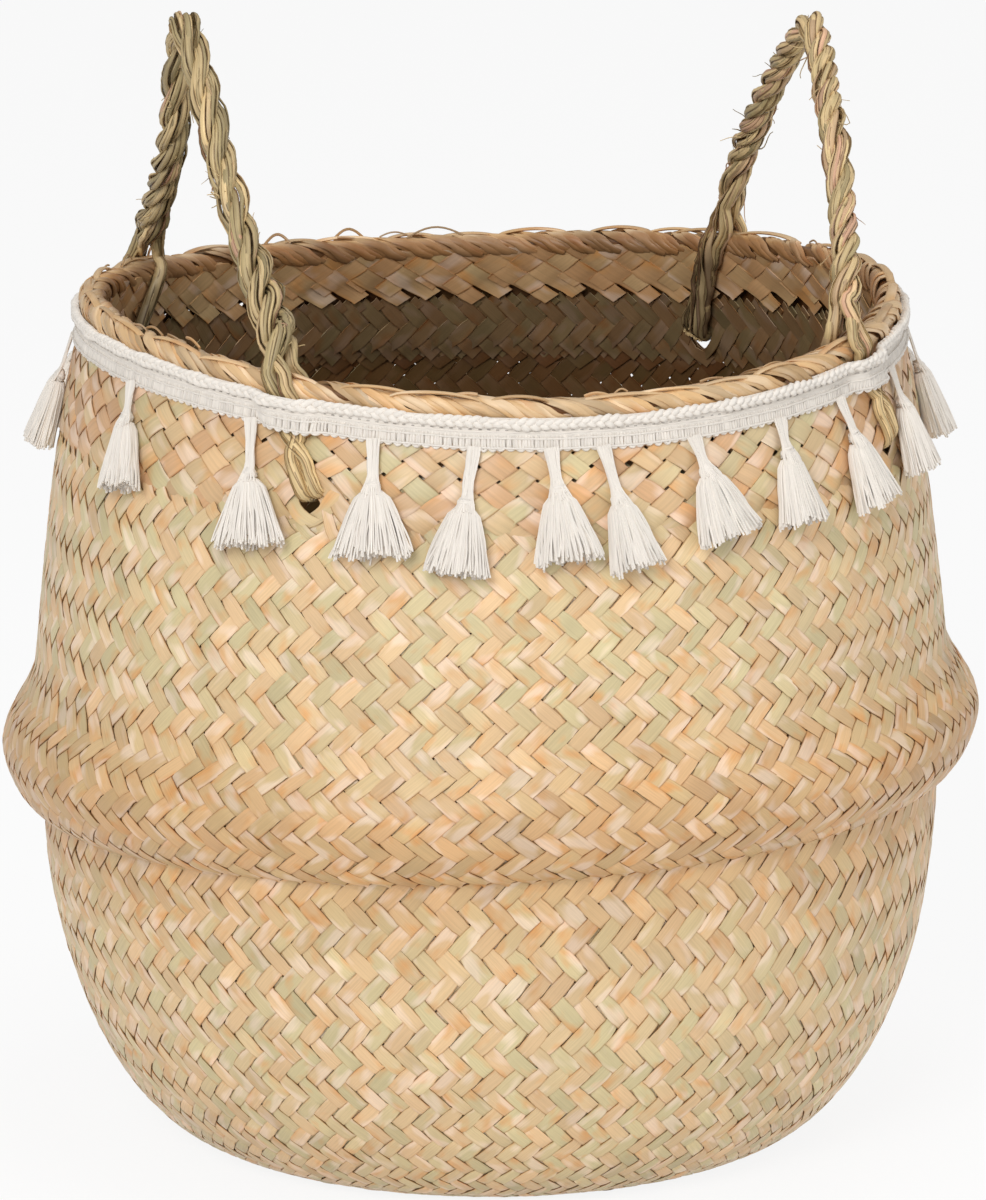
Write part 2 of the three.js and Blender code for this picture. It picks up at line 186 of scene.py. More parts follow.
# Each handle: bearings of its front and back foot in degrees, and its top. For its front and its back, how long a
# turn is against the pitch, how much looser the plies are at the foot, and half the inner tail's breadth in
# millimetres. Tones are a range for each ply. Legs go from the foot up, as the share of the foot's distance from
# the middle and the share of the rise
HANDLES = {
    "left": {
        "bearings": (-133.3, 138.3), "apex": 415 * MM, "lean": -9 * MM, "seed": 300,
        "twist": (1.8, 2.0), "loose": (0.65, 0.05), "stout": 1.05, "inner": (3, 2.4), "shade": 0.2,
        "tones": ((0.0, 0.5), (0.1, 1.0), (0.2, 0.75)),
        "legs": ((1, 0), (0.885, 0.105), (0.7, 0.245), (0.49, 0.4), (0.34, 0.55), (0.24, 0.7), (0.15, 0.86),
                 (0.07, 0.96)),
    },
    "right": {
        "bearings": (-42.8, 38.9), "apex": 405 * MM, "lean": 11 * MM, "seed": 400,
        "twist": (1.2, 1.35), "loose": (0.2, 0.1), "stout": 0.94, "inner": (3, 4.3), "shade": 1.1,
        "tones": ((0.2, 0.8), (0.4, 1.1), (0.3, 0.95)),
        "legs": ((1, 0), (0.94, 0.12), (0.86, 0.26), (0.73, 0.42), (0.54, 0.62), (0.31, 0.81), (0.14, 0.94),
                 (0.05, 0.985)),
    },
}

# Camera and lamps. Each lamp has its name, place, size and power in watts
CAMERA_TARGET = 196 * MM
CAMERA_SHIFT = 0.0021
LAMP_TARGET = 200 * MM
FLOOR_GLOW = 0.88
WORLD_LIGHT = 0.42
LAMPS = (
    ("key", (-1.5, -2.6, 1.9), 1.3, 57.5),
    ("fill", (2.4, -2.0, 1.0), 1.6, 14),
    ("top", (0.2, -0.4, 3.0), 1.2, 18),
)

LEG_BEARINGS = [math.radians(bearing) for side in HANDLES.values() for bearing in side["bearings"]]


# Settings


def linear(*levels):
    """Linear light of a colour written in screen levels from 0 to 255."""
    return tuple(((level / 255 + 0.055) / 1.055) ** 2.4 for level in levels)


def colour_setting(name, description, *levels):
    return bpy.props.FloatVectorProperty(
        name=name, description=description, subtype="COLOR", min=0, max=1, default=linear(*levels))


def length_setting(name, description, millimetres):
    return bpy.props.FloatProperty(
        name=name, description=description, default=millimetres * MM, min=0, unit="LENGTH")


class WeaveSettings(bpy.types.PropertyGroup):
    """Sizes and colours of the woven body"""

    strands: bpy.props.IntProperty(
        name="Strands", description="Strands of each direction round the body", default=124, min=8)
    width: length_setting("Strand width", "Width of a flat strand", 6.0)
    thickness: length_setting("Strand thickness", "Thickness of a flat strand", 0.45)
    hem_strands: bpy.props.IntProperty(
        name="Hem strands", description="Broad strands of each direction round the hem", default=72, min=8)
    hem_width: length_setting("Hem strand width", "Width of a broad strand of the hem", 8.3)
    relief: length_setting("Relief", "How far a strand rises and sinks as it crosses others", 0.46)
    straw: colour_setting("Straw", "Colour of the pale warm strands", 226, 191, 147)
    green: colour_setting("Green", "Colour of the grey green strands", 208, 193, 149)
    # Amber also colours the painted warm shade round the fold and on the inner hem
    amber: colour_setting("Amber", "Colour of the toasted patches", 222, 164, 102)
    # Pale patches are partly faded grass and partly painted highlights
    pale: colour_setting("Pale", "Colour of the bleached patches", 248, 224, 204)
    # The inside tint is partly the inner faces' own colour but mostly painted shade of the basket's interior
    inside: colour_setting("Inside", "Tint of the inner faces", 119, 99, 76)


class RimSettings(bpy.types.PropertyGroup):
    """Sizes and colours of the hem and the plaited border"""

    elements: bpy.props.IntProperty(
        name="Border elements", description="Strand bundles round the border", default=84, min=8)
    hem: colour_setting("Hem", "Colour of the doubled strands", 210, 168, 126)
    border: colour_setting("Border", "Colour of the plaited border", 211, 172, 122)


class TrimSettings(bpy.types.PropertyGroup):
    """Sizes and colours of the sewn trim and its tassels"""

    stitches: bpy.props.IntProperty(
        name="Stitches", description="Stitches round the trim", default=288, min=24)
    threads: bpy.props.IntProperty(
        name="Tassel threads", description="Threads in the skirt of a tassel", default=112, min=8)
    cotton: colour_setting("Cotton", "Colour of the trim and the tassels", 229, 222, 213)
    sewing: colour_setting("Sewing thread", "Colour of the stitches", 176, 169, 162)


class RopeSettings(bpy.types.PropertyGroup):
    """Sizes and colours of the rope handles"""

    plies: bpy.props.IntProperty(name="Plies", description="Plies in the rope", default=3, min=2)
    strands: bpy.props.IntProperty(name="Strands", description="Grass strands in a ply", default=14, min=3)
    pitch: length_setting("Pitch", "Length of rope for one turn of a ply", 27)
    green: colour_setting("Green", "Colour of the green strands", 160, 143, 103)
    straw: colour_setting("Straw", "Colour of the straw strands", 208, 182, 134)
    rose: colour_setting("Rose", "Colour of the reddish strands", 190, 150, 122)


class StageSettings(bpy.types.PropertyGroup):
    """Camera and lamps"""

    azimuth: bpy.props.FloatProperty(
        name="Azimuth", description="Bearing of the camera from the front", default=math.radians(-13.5),
        subtype="ANGLE")
    elevation: bpy.props.FloatProperty(
        name="Elevation", description="Height of the camera above level", default=math.radians(13.8),
        subtype="ANGLE")
    distance: length_setting("Distance", "Distance from the camera to its target", 3200)
    lens: bpy.props.FloatProperty(name="Lens", description="Focal length in millimetres", default=261)
    light: bpy.props.FloatProperty(name="Light", description="Strength of all lamps", default=1.0, min=0)


# Shapes that the pieces follow


def smoothstep(value, start, end):
    share = np.clip((value - start) / (end - start), 0, 1)
    return share * share * (3 - 2 * share)


def wall_radius(height):
    """Outer radius of the upper wall at a height."""
    share = (height - SHOULDER_HEIGHT) / (WALL_TOP - SHOULDER_HEIGHT)
    drop = WALL_LEAN * share + (1 - WALL_LEAN) * share**3
    return SHOULDER_RADIUS + (MOUTH_RADIUS - SHOULDER_RADIUS) * drop


def hem_radius(height):
    """Radius of the inner face of the hem at a height."""
    return wall_radius(height) - WALL_THICKNESS - GAP - HEM_THICKNESS


def settle(points):
    """Lifts points as the settled body does: the rim rises at the handles, and the fold dips at one side."""
    x, y, z = points[..., 0], points[..., 1], points[..., 2]
    bearing = np.arctan2(y, x)
    rim = smoothstep(z, SADDLE_START, RIM_HEIGHT)
    fold = smoothstep(z, DIP_STARTS[0], DIP_STARTS[1]) * (1 - smoothstep(z, DIP_STARTS[2], DIP_STARTS[3]))
    front = x * math.cos(FRONT_BEARING) + y * math.sin(FRONT_BEARING)
    side = y * math.cos(FRONT_BEARING) - x * math.sin(FRONT_BEARING)
    dip = (DIP_SIDE * side + DIP_FRONT * front) / CREASE_RADIUS
    lifted = points.copy()
    lifted[..., 2] = z + RIM_SADDLE * np.cos(2 * bearing) * rim + dip * fold
    return lifted


def round_points(radius, bearing, height):
    """Settled points from radius, bearing and height."""
    radius, bearing, height = np.broadcast_arrays(radius, bearing, height)
    return settle(np.stack([radius * np.cos(bearing), radius * np.sin(bearing), height], axis=-1))


def outline():
    """Radius and height along the outside of the body, from under the base up into the border."""
    turn = np.linspace(0, math.pi / 2, 60)
    share = np.linspace(0, 1, 40)
    wall_heights = SHOULDER_HEIGHT + (RIM_HEIGHT - 2.5 * MM - SHOULDER_HEIGHT) * share
    parts = (
        (np.array([BASE_RADIUS - BASE_TUCK]), np.array([0.0])),
        (BASE_RADIUS + (CREASE_RADIUS - BASE_RADIUS) * np.sin(turn) ** BOWL_ROUND,
         CREASE_HEIGHT * (1 - np.cos(turn) ** BOWL_ROUND)),
        (CREASE_RADIUS + (RIDGE_RADIUS - CREASE_RADIUS) * np.sin(turn) ** FOLD_ROUND,
         CREASE_HEIGHT + RIDGE_RISE * (1 - np.cos(turn) ** FOLD_ROUND)),
        (RIDGE_RADIUS + (SHOULDER_RADIUS - RIDGE_RADIUS) * smoothstep(share, 0, 1),
         CREASE_HEIGHT + RIDGE_RISE + SHOULDER_RISE * share),
        (wall_radius(wall_heights), wall_heights),
    )
    radius = np.concatenate([part[0] for part in parts])
    height = np.concatenate([part[1] for part in parts])
    run = np.concatenate([[0], np.cumsum(np.hypot(np.diff(radius), np.diff(height)))])
    even = np.arange(0, run[-1], 0.25 * MM)
    reach = 9
    soft = np.exp(-0.5 * (np.arange(-reach, reach + 1) / 3.5) ** 2)
    soft /= soft.sum()
    rounded = [
        np.convolve(np.pad(np.interp(even, run, values), reach, mode="edge"), soft, mode="valid")
        for values in (radius, height)
    ]
    return rounded


def body_run(strands, width):
    """The body's outline as columns: lattice row, radius, height and the outward normal."""
    radius, height = outline()
    slope = np.hypot(np.gradient(radius), np.gradient(height))
    around = strands / (FULL * radius)
    along = np.sqrt(np.maximum(1 / width**2 - around**2, (0.9 * around) ** 2))
    steps = np.hypot(np.diff(radius), np.diff(height))
    rows = np.concatenate([[0], np.cumsum((along[1:] + along[:-1]) * steps)])
    return {
        "row": rows, "radius": radius, "height": height, "rise": np.gradient(height, rows),
        "out": np.gradient(height) / slope, "up": -np.gradient(radius) / slope,
    }


def row_at(run, height):
    return float(np.interp(height, run["height"], run["row"]))


def hole_places():
    """Bearing, height and radius of each hole that a rope tail passes through."""
    return [(bearing + TAIL_SLANT, RIM_HEIGHT - HOLE_DROP - 1.2 * radius, radius)
            for bearing, radius in zip(LEG_BEARINGS, HOLE_RADII)]


def moves_at_holes(run, strands, direction, row, turn):
    """How a strand gives way to the holes: its shift in angle and height, and the share of its width."""
    radius, height, rise = (np.interp(row, run["row"], run[key]) for key in ("radius", "height", "rise"))
    around = direction * math.pi * radius / strands
    length = np.hypot(around, rise)
    around, rise = around / length, rise / length
    moved, squeezed = 0, 1
    for bearing, middle, hole in hole_places():
        aside = (np.mod(FULL * turn / strands - bearing + math.pi, FULL) - math.pi) * radius
        above = height - middle
        off = above * around - aside * rise
        near = np.exp(-(((aside * around + above * rise) / (2.2 * hole)) ** 2))
        moved = moved + np.sign(off) * hole * near * np.exp(-np.abs(off) / (1.7 * hole))
        squeezed = squeezed - 0.38 * near * np.exp(-((off / (2.2 * hole)) ** 2))
    return -moved * rise / radius, moved * around, squeezed


def on_body(run, strands, row, turn, lift, aside=0, above=0):
    """Points on the body at lattice rows and turns, lifted off its outer surface and shifted."""
    pick = {key: np.interp(row, run["row"], run[key]) for key in ("radius", "height", "out", "up")}
    radius = pick["radius"] + lift * pick["out"]
    height = pick["height"] + lift * pick["up"]
    return round_points(radius, FULL * turn / strands + aside, height + above)


def outward(points):
    """Level unit vectors away from the middle of the basket, at points."""
    face = points.copy()
    face[..., 2] = 0
    return face / np.linalg.norm(face, axis=-1, keepdims=True)


def smooth_curve(points, count):
    """A smooth line of evenly spread points through a list of points."""
    points = np.asarray(points, float)
    padded = np.vstack([2 * points[0] - points[1], points, 2 * points[-1] - points[-2]])
    line = []
    for i in range(len(points) - 1):
        a, b, c, d = padded[i : i + 4]
        t = np.linspace(0, 1, 20, endpoint=False)[:, None]
        line.append(0.5 * (2 * b + (c - a) * t + (2 * a - 5 * b + 4 * c - d) * t**2
                           + (3 * b - a - 3 * c + d) * t**3))
    line = np.vstack([*line, points[-1]])
    run = np.concatenate([[0], np.cumsum(np.linalg.norm(np.diff(line, axis=0), axis=1))])
    even = np.linspace(0, run[-1], count)
    return np.stack([np.interp(even, run, line[:, k]) for k in range(points.shape[1])], axis=1), run[-1]


# Making meshes


def mesh_of(bm, name):
    """Ends a bmesh and keeps it as a mesh."""
    mesh = bpy.data.meshes.new(name)
    bm.to_mesh(mesh)
    bm.free()
    return mesh


def slab_mesh(name, count, start, end, per_row):
    """Flat slabs for the strands of one direction. Each point comes with its lattice row, the number of its
    strand, its share across the strand from -0.5 to 0.5, and its layer, which is 1 outside and 0 inside."""
    steps = round((end - start) * per_row)
    bm = bmesh.new()
    for index in range(count):
        place = Matrix.Translation(((start + end) / 2, index, 0))
        scale = Matrix.Diagonal(((end - start) / 2, SLAB_WIDTH / 2, 1, 1))
        bmesh.ops.create_grid(bm, x_segments=steps, y_segments=2, size=1, matrix=place @ scale)
    bmesh.ops.solidify(bm, geom=bm.faces[:], thickness=1)
    mesh = mesh_of(bm, name)
    row, spot, depth = coordinates(mesh).T
    number = np.round(spot)
    return mesh, row, number, (spot - number) / SLAB_WIDTH, 1 - np.abs(depth)


def coordinates(mesh):
    flat = np.empty(len(mesh.vertices) * 3, np.float32)
    mesh.vertices.foreach_get("co", flat)
    return flat.reshape(-1, 3).astype(float)


def place_points(mesh, points):
    mesh.vertices.foreach_set("co", points.astype(np.float32).ravel())
    mesh.update()


def add_values(mesh, **columns):
    for name, values in columns.items():
        attribute = mesh.attributes.new(name, "FLOAT", "POINT")
        attribute.data.foreach_set("value", np.broadcast_to(values, len(mesh.vertices)).astype(np.float32))


def add_uv(mesh, across, along):
    layer = mesh.uv_layers.new(name="strand")
    corners = np.empty(len(mesh.loops), np.int32)
    mesh.loops.foreach_get("vertex_index", corners)
    layer.data.foreach_set("uv", np.stack([across, along], 1)[corners].astype(np.float32).ravel())


def face_outwards(mesh, merge=None):
    """Turns the faces of closed shells outwards, and closes their seams first if merge is given."""
    bm = bmesh.new()
    bm.from_mesh(mesh)
    if merge:
        bmesh.ops.remove_doubles(bm, verts=bm.verts[:], dist=merge)
    bmesh.ops.recalc_face_normals(bm, faces=bm.faces[:])
    bm.to_mesh(mesh)
    bm.free()


def finish_piece(mesh, finish, sharp=50):
    """Makes a mesh a piece of the scene. A finish is a material with the name of its slot; that name is not used.
    """
    material, slot = finish
    mesh.polygons.foreach_set("use_smooth", np.ones(len(mesh.polygons), bool))
    mesh.set_sharp_from_angle(angle=math.radians(sharp))
    mesh.materials.append(material)
    piece = bpy.data.objects.new(mesh.name, mesh)
    bpy.context.scene.collection.objects.link(piece)
    return piece


def slab_piece(mesh, points, across, along, finish, **values):
    """Places the points of slabs and makes them a piece."""
    place_points(mesh, points)
    face_outwards(mesh)
    # The edge value grows towards a strand's sides, where the grass finishes paint shade
    add_values(mesh, edge=np.abs(2 * across), **values)
    add_uv(mesh, across, along)
    return finish_piece(mesh, finish)


def tubes_mesh(name, paths, radii, faces, sides, flat=1.0):
    """Closed tubes of an oval section. Paths are tubes by stations by 3, faces point out of the flat side,
    and flat is how many times wider than thick a tube is."""
    paths, faces = np.asarray(paths, float), np.asarray(faces, float)
    tubes, stations = paths.shape[:2]
    radii, flat = (np.broadcast_to(values, (tubes, stations)) for values in (radii, flat))
    along = np.gradient(paths, axis=1)
    along /= np.linalg.norm(along, axis=2, keepdims=True) + 1e-12
    side = np.cross(along, faces)
    side /= np.linalg.norm(side, axis=2, keepdims=True) + 1e-12
    face = np.cross(side, along)
    ends = np.array([0, *range(stations), stations - 1])
    open_ends = np.ones(stations + 2)
    open_ends[[0, -1]] = 0
    bm = bmesh.new()
    for tube in range(tubes):
        place = Matrix.Translation((sides / 2, (stations + 1) / 2, tube))
        scale = Matrix.Diagonal((sides / 2, (stations + 1) / 2, 1, 1))
        bmesh.ops.create_grid(
            bm, x_segments=sides, y_segments=stations + 1, size=1, matrix=place @ scale)
    mesh = mesh_of(bm, name)
    turn, level, tube = np.round(coordinates(mesh)).astype(int).T
    angle = FULL * turn / sides
    station = ends[level]
    thick = (radii[tube, station] * open_ends[level])[:, None]
    wide = thick * flat[tube, station][:, None]
    points = paths[tube, station] + wide * side[tube, station] * np.cos(angle)[:, None]
    points += thick * face[tube, station] * np.sin(angle)[:, None]
    steps = np.linalg.norm(np.diff(paths, axis=1), axis=2)
    length = np.concatenate([np.zeros((tubes, 1)), np.cumsum(steps, axis=1)], axis=1)
    place_points(mesh, points)
    # The edge value grows towards a tube's flat sides, where the grass and rope finishes paint shade
    add_values(mesh, edge=np.abs(np.cos(angle)))
    add_uv(mesh, turn / sides, length[tube, station] / PATTERN_LENGTH + TUBE_STEP * tube)
    return mesh, tube


def tube_piece(name, paths, radii, faces, sides, finish, flat=1.0, sharp=50, **values):
    """A piece of tubes. A value is one number, or one for each tube, or a function of points and tubes."""
    mesh, tube = tubes_mesh(name, paths, radii, faces, sides, flat)
    for key, value in values.items():
        if callable(value):
            value = value(coordinates(mesh), tube)
        elif np.ndim(value):
            value = value[tube]
        add_values(mesh, **{key: value})
    face_outwards(mesh, merge=SEAM)
    return finish_piece(mesh, finish, sharp)


def along_table(table, index, position):
    """Smooth values along strands, from a table of values by strand and by step along it."""
    low = np.floor(position).astype(int)
    share = position - low
    share = share * share * (3 - 2 * share)
    strand = index.astype(int) % table.shape[0]
    wide = table.shape[1]
    return table[strand, low % wide] * (1 - share) + table[strand, (low + 1) % wide] * share


def wander(rng, size, count, number, position):
    """Random values that change smoothly along each strand."""
    return along_table(rng.normal(0, size, (count, TABLE_STEPS)), number, position)


def over_under(position, steep=4.0):
    """A rounded square wave: 1 where a strand lies over others, and -1 where it lies under."""
    return np.tanh(steep * np.cos(FULL * position / TWILL)) / math.tanh(steep)


# Materials


def add_node(tree, kind, **values):
    node = tree.nodes.new(kind)
    for key, value in values.items():
        setattr(node, key, value)
    return node


def plug(tree, socket, value):
    """Sets a socket to a number or colour, or links it to another socket."""
    if isinstance(value, bpy.types.NodeSocket):
        tree.links.new(value, socket)
    elif isinstance(value, (int, float)):
        socket.default_value = value
    else:
        socket.default_value = (*value[:3], 1) if len(socket.default_value) == 4 else tuple(value)


def calculate(tree, operation, *values):
    node = add_node(tree, "ShaderNodeMath", operation=operation)
    for socket, value in zip(node.inputs, values):
        plug(tree, socket, value)
    return node.outputs[0]


def mix_colours(tree, factor, first, second, blend="MIX"):
    node = add_node(tree, "ShaderNodeMix", data_type="RGBA", blend_type=blend)
    for socket, value in ((node.inputs[0], factor), (node.inputs[6], first), (node.inputs[7], second)):
        plug(tree, socket, value)
    return node.outputs[2]


def spread(tree, value, low, high, bottom, top):
    """Maps a value from one range to another, and stops at its ends."""
    node = add_node(tree, "ShaderNodeMapRange")
    for socket, number in zip(node.inputs[1:5], (low, high, bottom, top)):
        socket.default_value = number
    plug(tree, node.inputs[0], value)
    return node.outputs[0]


def noise(tree, vector, scale, detail):
    """Noise on the strand map, stretched by a scale across and along."""
    mapping = add_node(tree, "ShaderNodeMapping")
    mapping.inputs["Scale"].default_value = (*scale, 1)
    plug(tree, mapping.inputs["Vector"], vector)
    node = add_node(tree, "ShaderNodeTexNoise", noise_dimensions="2D")
    node.inputs["Scale"].default_value = 1
    node.inputs["Detail"].default_value = detail
    plug(tree, node.inputs["Vector"], mapping.outputs[0])
    return node.outputs["Fac"]


def fibre_group():
    """Fine lines that run along a strand, as a brightness and as a height."""
    tree = bpy.data.node_groups.new("fibre lines", "ShaderNodeTree")
    sockets = {"INPUT": ("Strand", "Across", "Along", "Contrast"), "OUTPUT": ("Brightness", "Height")}
    for kind, names in sockets.items():
        for name in names:
            form = "NodeSocketVector" if name == "Strand" else "NodeSocketFloat"
            tree.interface.new_socket(name, in_out=kind, socket_type=form)
    source, result = add_node(tree, "NodeGroupInput"), add_node(tree, "NodeGroupOutput")
    scale = add_node(tree, "ShaderNodeCombineXYZ")
    plug(tree, scale.inputs[0], source.outputs["Across"])
    plug(tree, scale.inputs[1], source.outputs["Along"])
    stretched = add_node(tree, "ShaderNodeVectorMath", operation="MULTIPLY")
    plug(tree, stretched.inputs[0], source.outputs["Strand"])
    plug(tree, stretched.inputs[1], scale.outputs[0])
    lines = noise(tree, stretched.outputs[0], (1, 1), 4)
    centred = calculate(tree, "SUBTRACT", lines, 0.5)
    plug(tree, result.inputs["Brightness"],
         calculate(tree, "MULTIPLY_ADD", centred, source.outputs["Contrast"], 1.0))
    plug(tree, result.inputs["Height"], lines)


def grey(tree, value):
    node = add_node(tree, "ShaderNodeCombineColor")
    for socket in node.inputs:
        plug(tree, socket, value)
    return node.outputs[0]


def start_material(name, roughness):
    material = bpy.data.materials.new(name)
    material.use_nodes = True
    tree = material.node_tree
    shader = tree.nodes["Principled BSDF"]
    shader.inputs["Roughness"].default_value = roughness
    uv = add_node(tree, "ShaderNodeUVMap", uv_map="strand")
    return material, tree, shader, uv.outputs[0]


def value_of(tree, name):
    return add_node(tree, "ShaderNodeAttribute", attribute_name=name).outputs["Fac"]


def fibres(tree, strand, across, along, contrast):
    node = add_node(tree, "ShaderNodeGroup", node_tree=bpy.data.node_groups["fibre lines"])
    for name, value in (("Strand", strand), ("Across", across), ("Along", along), ("Contrast", contrast)):
        plug(tree, node.inputs[name], value)
    return node.outputs["Brightness"], node.outputs["Height"]


def add_bump(tree, shader, height, strength, depth):
    bump = add_node(tree, "ShaderNodeBump")
    bump.inputs["Strength"].default_value = strength
    bump.inputs["Distance"].default_value = depth
    plug(tree, bump.inputs["Height"], height)
    plug(tree, shader.inputs["Normal"], bump.outputs[0])


def shaded(tree, base, brightness, contrast, start=1.0):
    """A colour that follows the fibre lines, and the shade of each strand."""
    bright = calculate(tree, "MULTIPLY_ADD", value_of(tree, "shade"), contrast, start)
    bright = calculate(tree, "MULTIPLY", bright, brightness)
    return mix_colours(tree, 1, base, grey(tree, bright), "MULTIPLY")


def grass_finish(name, warm, cool, amber, pale, inside, across=11, along=0.3):
    """Dried grass. A piece's tone runs from its warm colour at 0 to its cool one at 1."""
    material, tree, shader, strand = start_material(name, 0.45)
    brightness, height = fibres(tree, strand, across, along, 0.3)
    base = mix_colours(tree, value_of(tree, "tone"), warm, cool)
    # Amber patches from noise are the grass's own colour; on top of them comes painted warm shade, strongest
    # round the fold and on the inner hem
    toasted_and_warm_shade = spread(tree, noise(tree, strand, (0.7, 0.42), 2), 0.55, 0.78, 0, 0.8)
    toasted_and_warm_shade = calculate(tree, "MULTIPLY_ADD", value_of(tree, "worn"), 0.5, toasted_and_warm_shade)
    base = mix_colours(tree, toasted_and_warm_shade, base, amber)
    # Pale patches: partly faded grass, partly painted highlights
    bleached_and_highlight = spread(tree, noise(tree, strand, (0.9, 0.37), 1), 0.32, 0.46, 0.5, 0)
    base = mix_colours(tree, bleached_and_highlight, base, pale)
    # Painted shade: the strands are darkened where the painted warm shade lies
    warm_shade_dimming = calculate(tree, "MULTIPLY_ADD", value_of(tree, "worn"), -0.14, 1.0)
    base = shaded(tree, base, brightness, 0.06, warm_shade_dimming)
    # Painted shade: each strand is darkened along its sides, in broken stretches, as the gaps between strands
    # fall in shade
    edge = spread(tree, value_of(tree, "edge"), 0.84, 1, 0, 1)
    broken = spread(tree, noise(tree, strand, (0.4, 0.55), 1), 0.4, 0.62, 0, 0.9)
    base = mix_colours(tree, calculate(tree, "MULTIPLY", edge, broken), base, linear(192, 156, 108), "MULTIPLY")
    # Painted shade on the inner faces: partly their own colour, mostly the shade inside the basket
    inner = mix_colours(tree, 1, base, inside, "MULTIPLY")
    base = mix_colours(tree, value_of(tree, "inside"), base, inner)
    plug(tree, shader.inputs["Base Color"], base)
    add_bump(tree, shader, height, 0.3, 0.2 * MM)
    return material, name


def cotton_finish(name, colour, across, along):
    """Cotton yarn: soft and matt, with fine fibre lines."""
    material, tree, shader, strand = start_material(name, 0.9)
    brightness, height = fibres(tree, strand, across, along, 0.16)
    plug(tree, shader.inputs["Base Color"], shaded(tree, colour, brightness, 0.035))
    shader.inputs["Sheen Weight"].default_value = 0.2
    add_bump(tree, shader, height, 0.5, 0.15 * MM)
    return material, name


def rope_finish(name, green, straw, rose):
    """Twisted grass, from green over straw to reddish, with painted shade in the grooves between the strands."""
    material, tree, shader, strand = start_material(name, 0.5)
    brightness, height = fibres(tree, strand, 5, 0.6, 0.9)
    tone = value_of(tree, "tone")
    base = mix_colours(tree, spread(tree, tone, 0.3, 0.6, 0, 1), green, straw)
    base = mix_colours(tree, spread(tree, tone, 0.72, 0.95, 0, 1), base, rose)
    drift = noise(tree, strand, (0.3, 0.2), 2)
    base = mix_colours(tree, spread(tree, drift, 0.45, 0.75, 0, 0.6), base, straw)
    base = shaded(tree, base, brightness, 0.1)
    # Painted shade: the sides of each strand are darkened, as the grooves between strands fall in shade
    edge = spread(tree, value_of(tree, "edge"), 0.65, 1, 0, 0.95)
    base = mix_colours(tree, edge, base, linear(128, 98, 62), "MULTIPLY")
    plug(tree, shader.inputs["Base Color"], base)
    add_bump(tree, shader, height, 0.5, 0.3 * MM)
    return material, name


# Woven body

# What a layer of strands has unless it says otherwise. Its weave repeats after a period of lattice rows, strands
# that rise to the right start some rows early, and a strand's width narrows by the pinch between over and under
# By default a layer's inner faces take the full painted shade, and the layer adds no painted warm shade beyond
# the band round the fold
TWILL_FORM = {
    "period": TWILL, "phase": 0.5, "early": 0, "seed": 7, "narrow": 0.96, "per_row": 3, "drift": 0.22,
    "pinch": 0.4, "ragged": 0, "worn": 0, "inner_inside": 1, "replaced": None,
}


def strand_piece(name, direction, layer, weave):
    """The strands of one direction over a stretch of lattice rows. Direction is 1 for strands that rise
    to the right, seen from outside, and -1 for those that rise to the left."""
    run, count, seed = layer["run"], layer["strands"], layer["seed"]
    start, end = layer["rows"]
    start = start - layer["early"] * (direction > 0)
    mesh, row, number, across, outside = slab_mesh(name, count, start, end, layer["per_row"])
    rng = np.random.default_rng(seed + (direction > 0))
    picked = number.astype(int) % count
    ragged = layer["ragged"] * np.random.default_rng(seed + 900).uniform(-1, 1, count)[picked]
    row = end - (end - row) * (1 + ragged / (end - start))
    position = row / 2 - 0.25
    height = np.interp(row, run["row"], run["height"])

    def along(size, place=position):
        return wander(rng, size, count, number, place)

    width = rng.uniform(layer["narrow"], WIDEST, count)[picked] * layer["width"](height)
    width = width + along(UNEVEN_WIDTH)
    wobble = along(UNEVEN_PLACE, row / 3)
    tilt, rise, shade = along(UNEVEN_TILT), along(UNEVEN_RISE), along(1)
    tint = along(layer["drift"], position / 2)
    over = direction * over_under((row - layer["phase"]) * TWILL / layer["period"])
    pinch = along_table(rng.uniform(0, layer["pinch"], (count, TABLE_STEPS)), number, position)
    width = width * (1 - pinch * (1 - over**2))
    lift = layer["level"](height) + over * weave.relief
    lift = lift + rise - CAMBER * (2 * across) ** 2 + 2 * across * tilt
    lift = lift + (outside - 0.5) * weave.thickness
    centre = number + direction * row / 2
    aside, above, squeezed = moves_at_holes(run, count, direction, row, centre)
    side = across * width * squeezed + wobble
    points = on_body(run, count, row - direction * side, centre + side / 2, lift, aside, above)
    tone = np.clip(layer["tones"](rng, count)[picked] + tint, 0, 1)
    return slab_piece(
        mesh, points, across, row + STRAND_STEP * number, layer["finish"],
        tone=tone, shade=shade + rng.normal(0, STRAND_SHADE, count)[picked],
        # Painted warm shade: a layer's own share, and more round the fold
        worn=layer["worn"] + np.exp(-(((height - WARM_SHADE_HEIGHT) / WARM_SHADE_REACH) ** 2)),
        # Painted shade on the inner faces, by the layer's share
        inside=layer["inner_inside"] * (1 - outside))


def twill_tones(rng, count):
    """Every other strand is green, and some stray from their kind."""
    return np.where(np.arange(count) % 2 == 1, 0.85, 0.1) + rng.normal(0, 0.13, count)


def hem_tones(rng, count):
    return rng.normal(0.3, 0.28, count)


def weave_layers(weave, *layers):
    """Both directions of each layer."""
    for word, direction in (("right", 1), ("left", -1)):
        for layer in layers:
            piece = strand_piece(layer["name"] + "_" + word, direction, layer, weave)
            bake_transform(piece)
            if direction > 0 and layer["replaced"]:
                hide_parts(layer["replaced"])


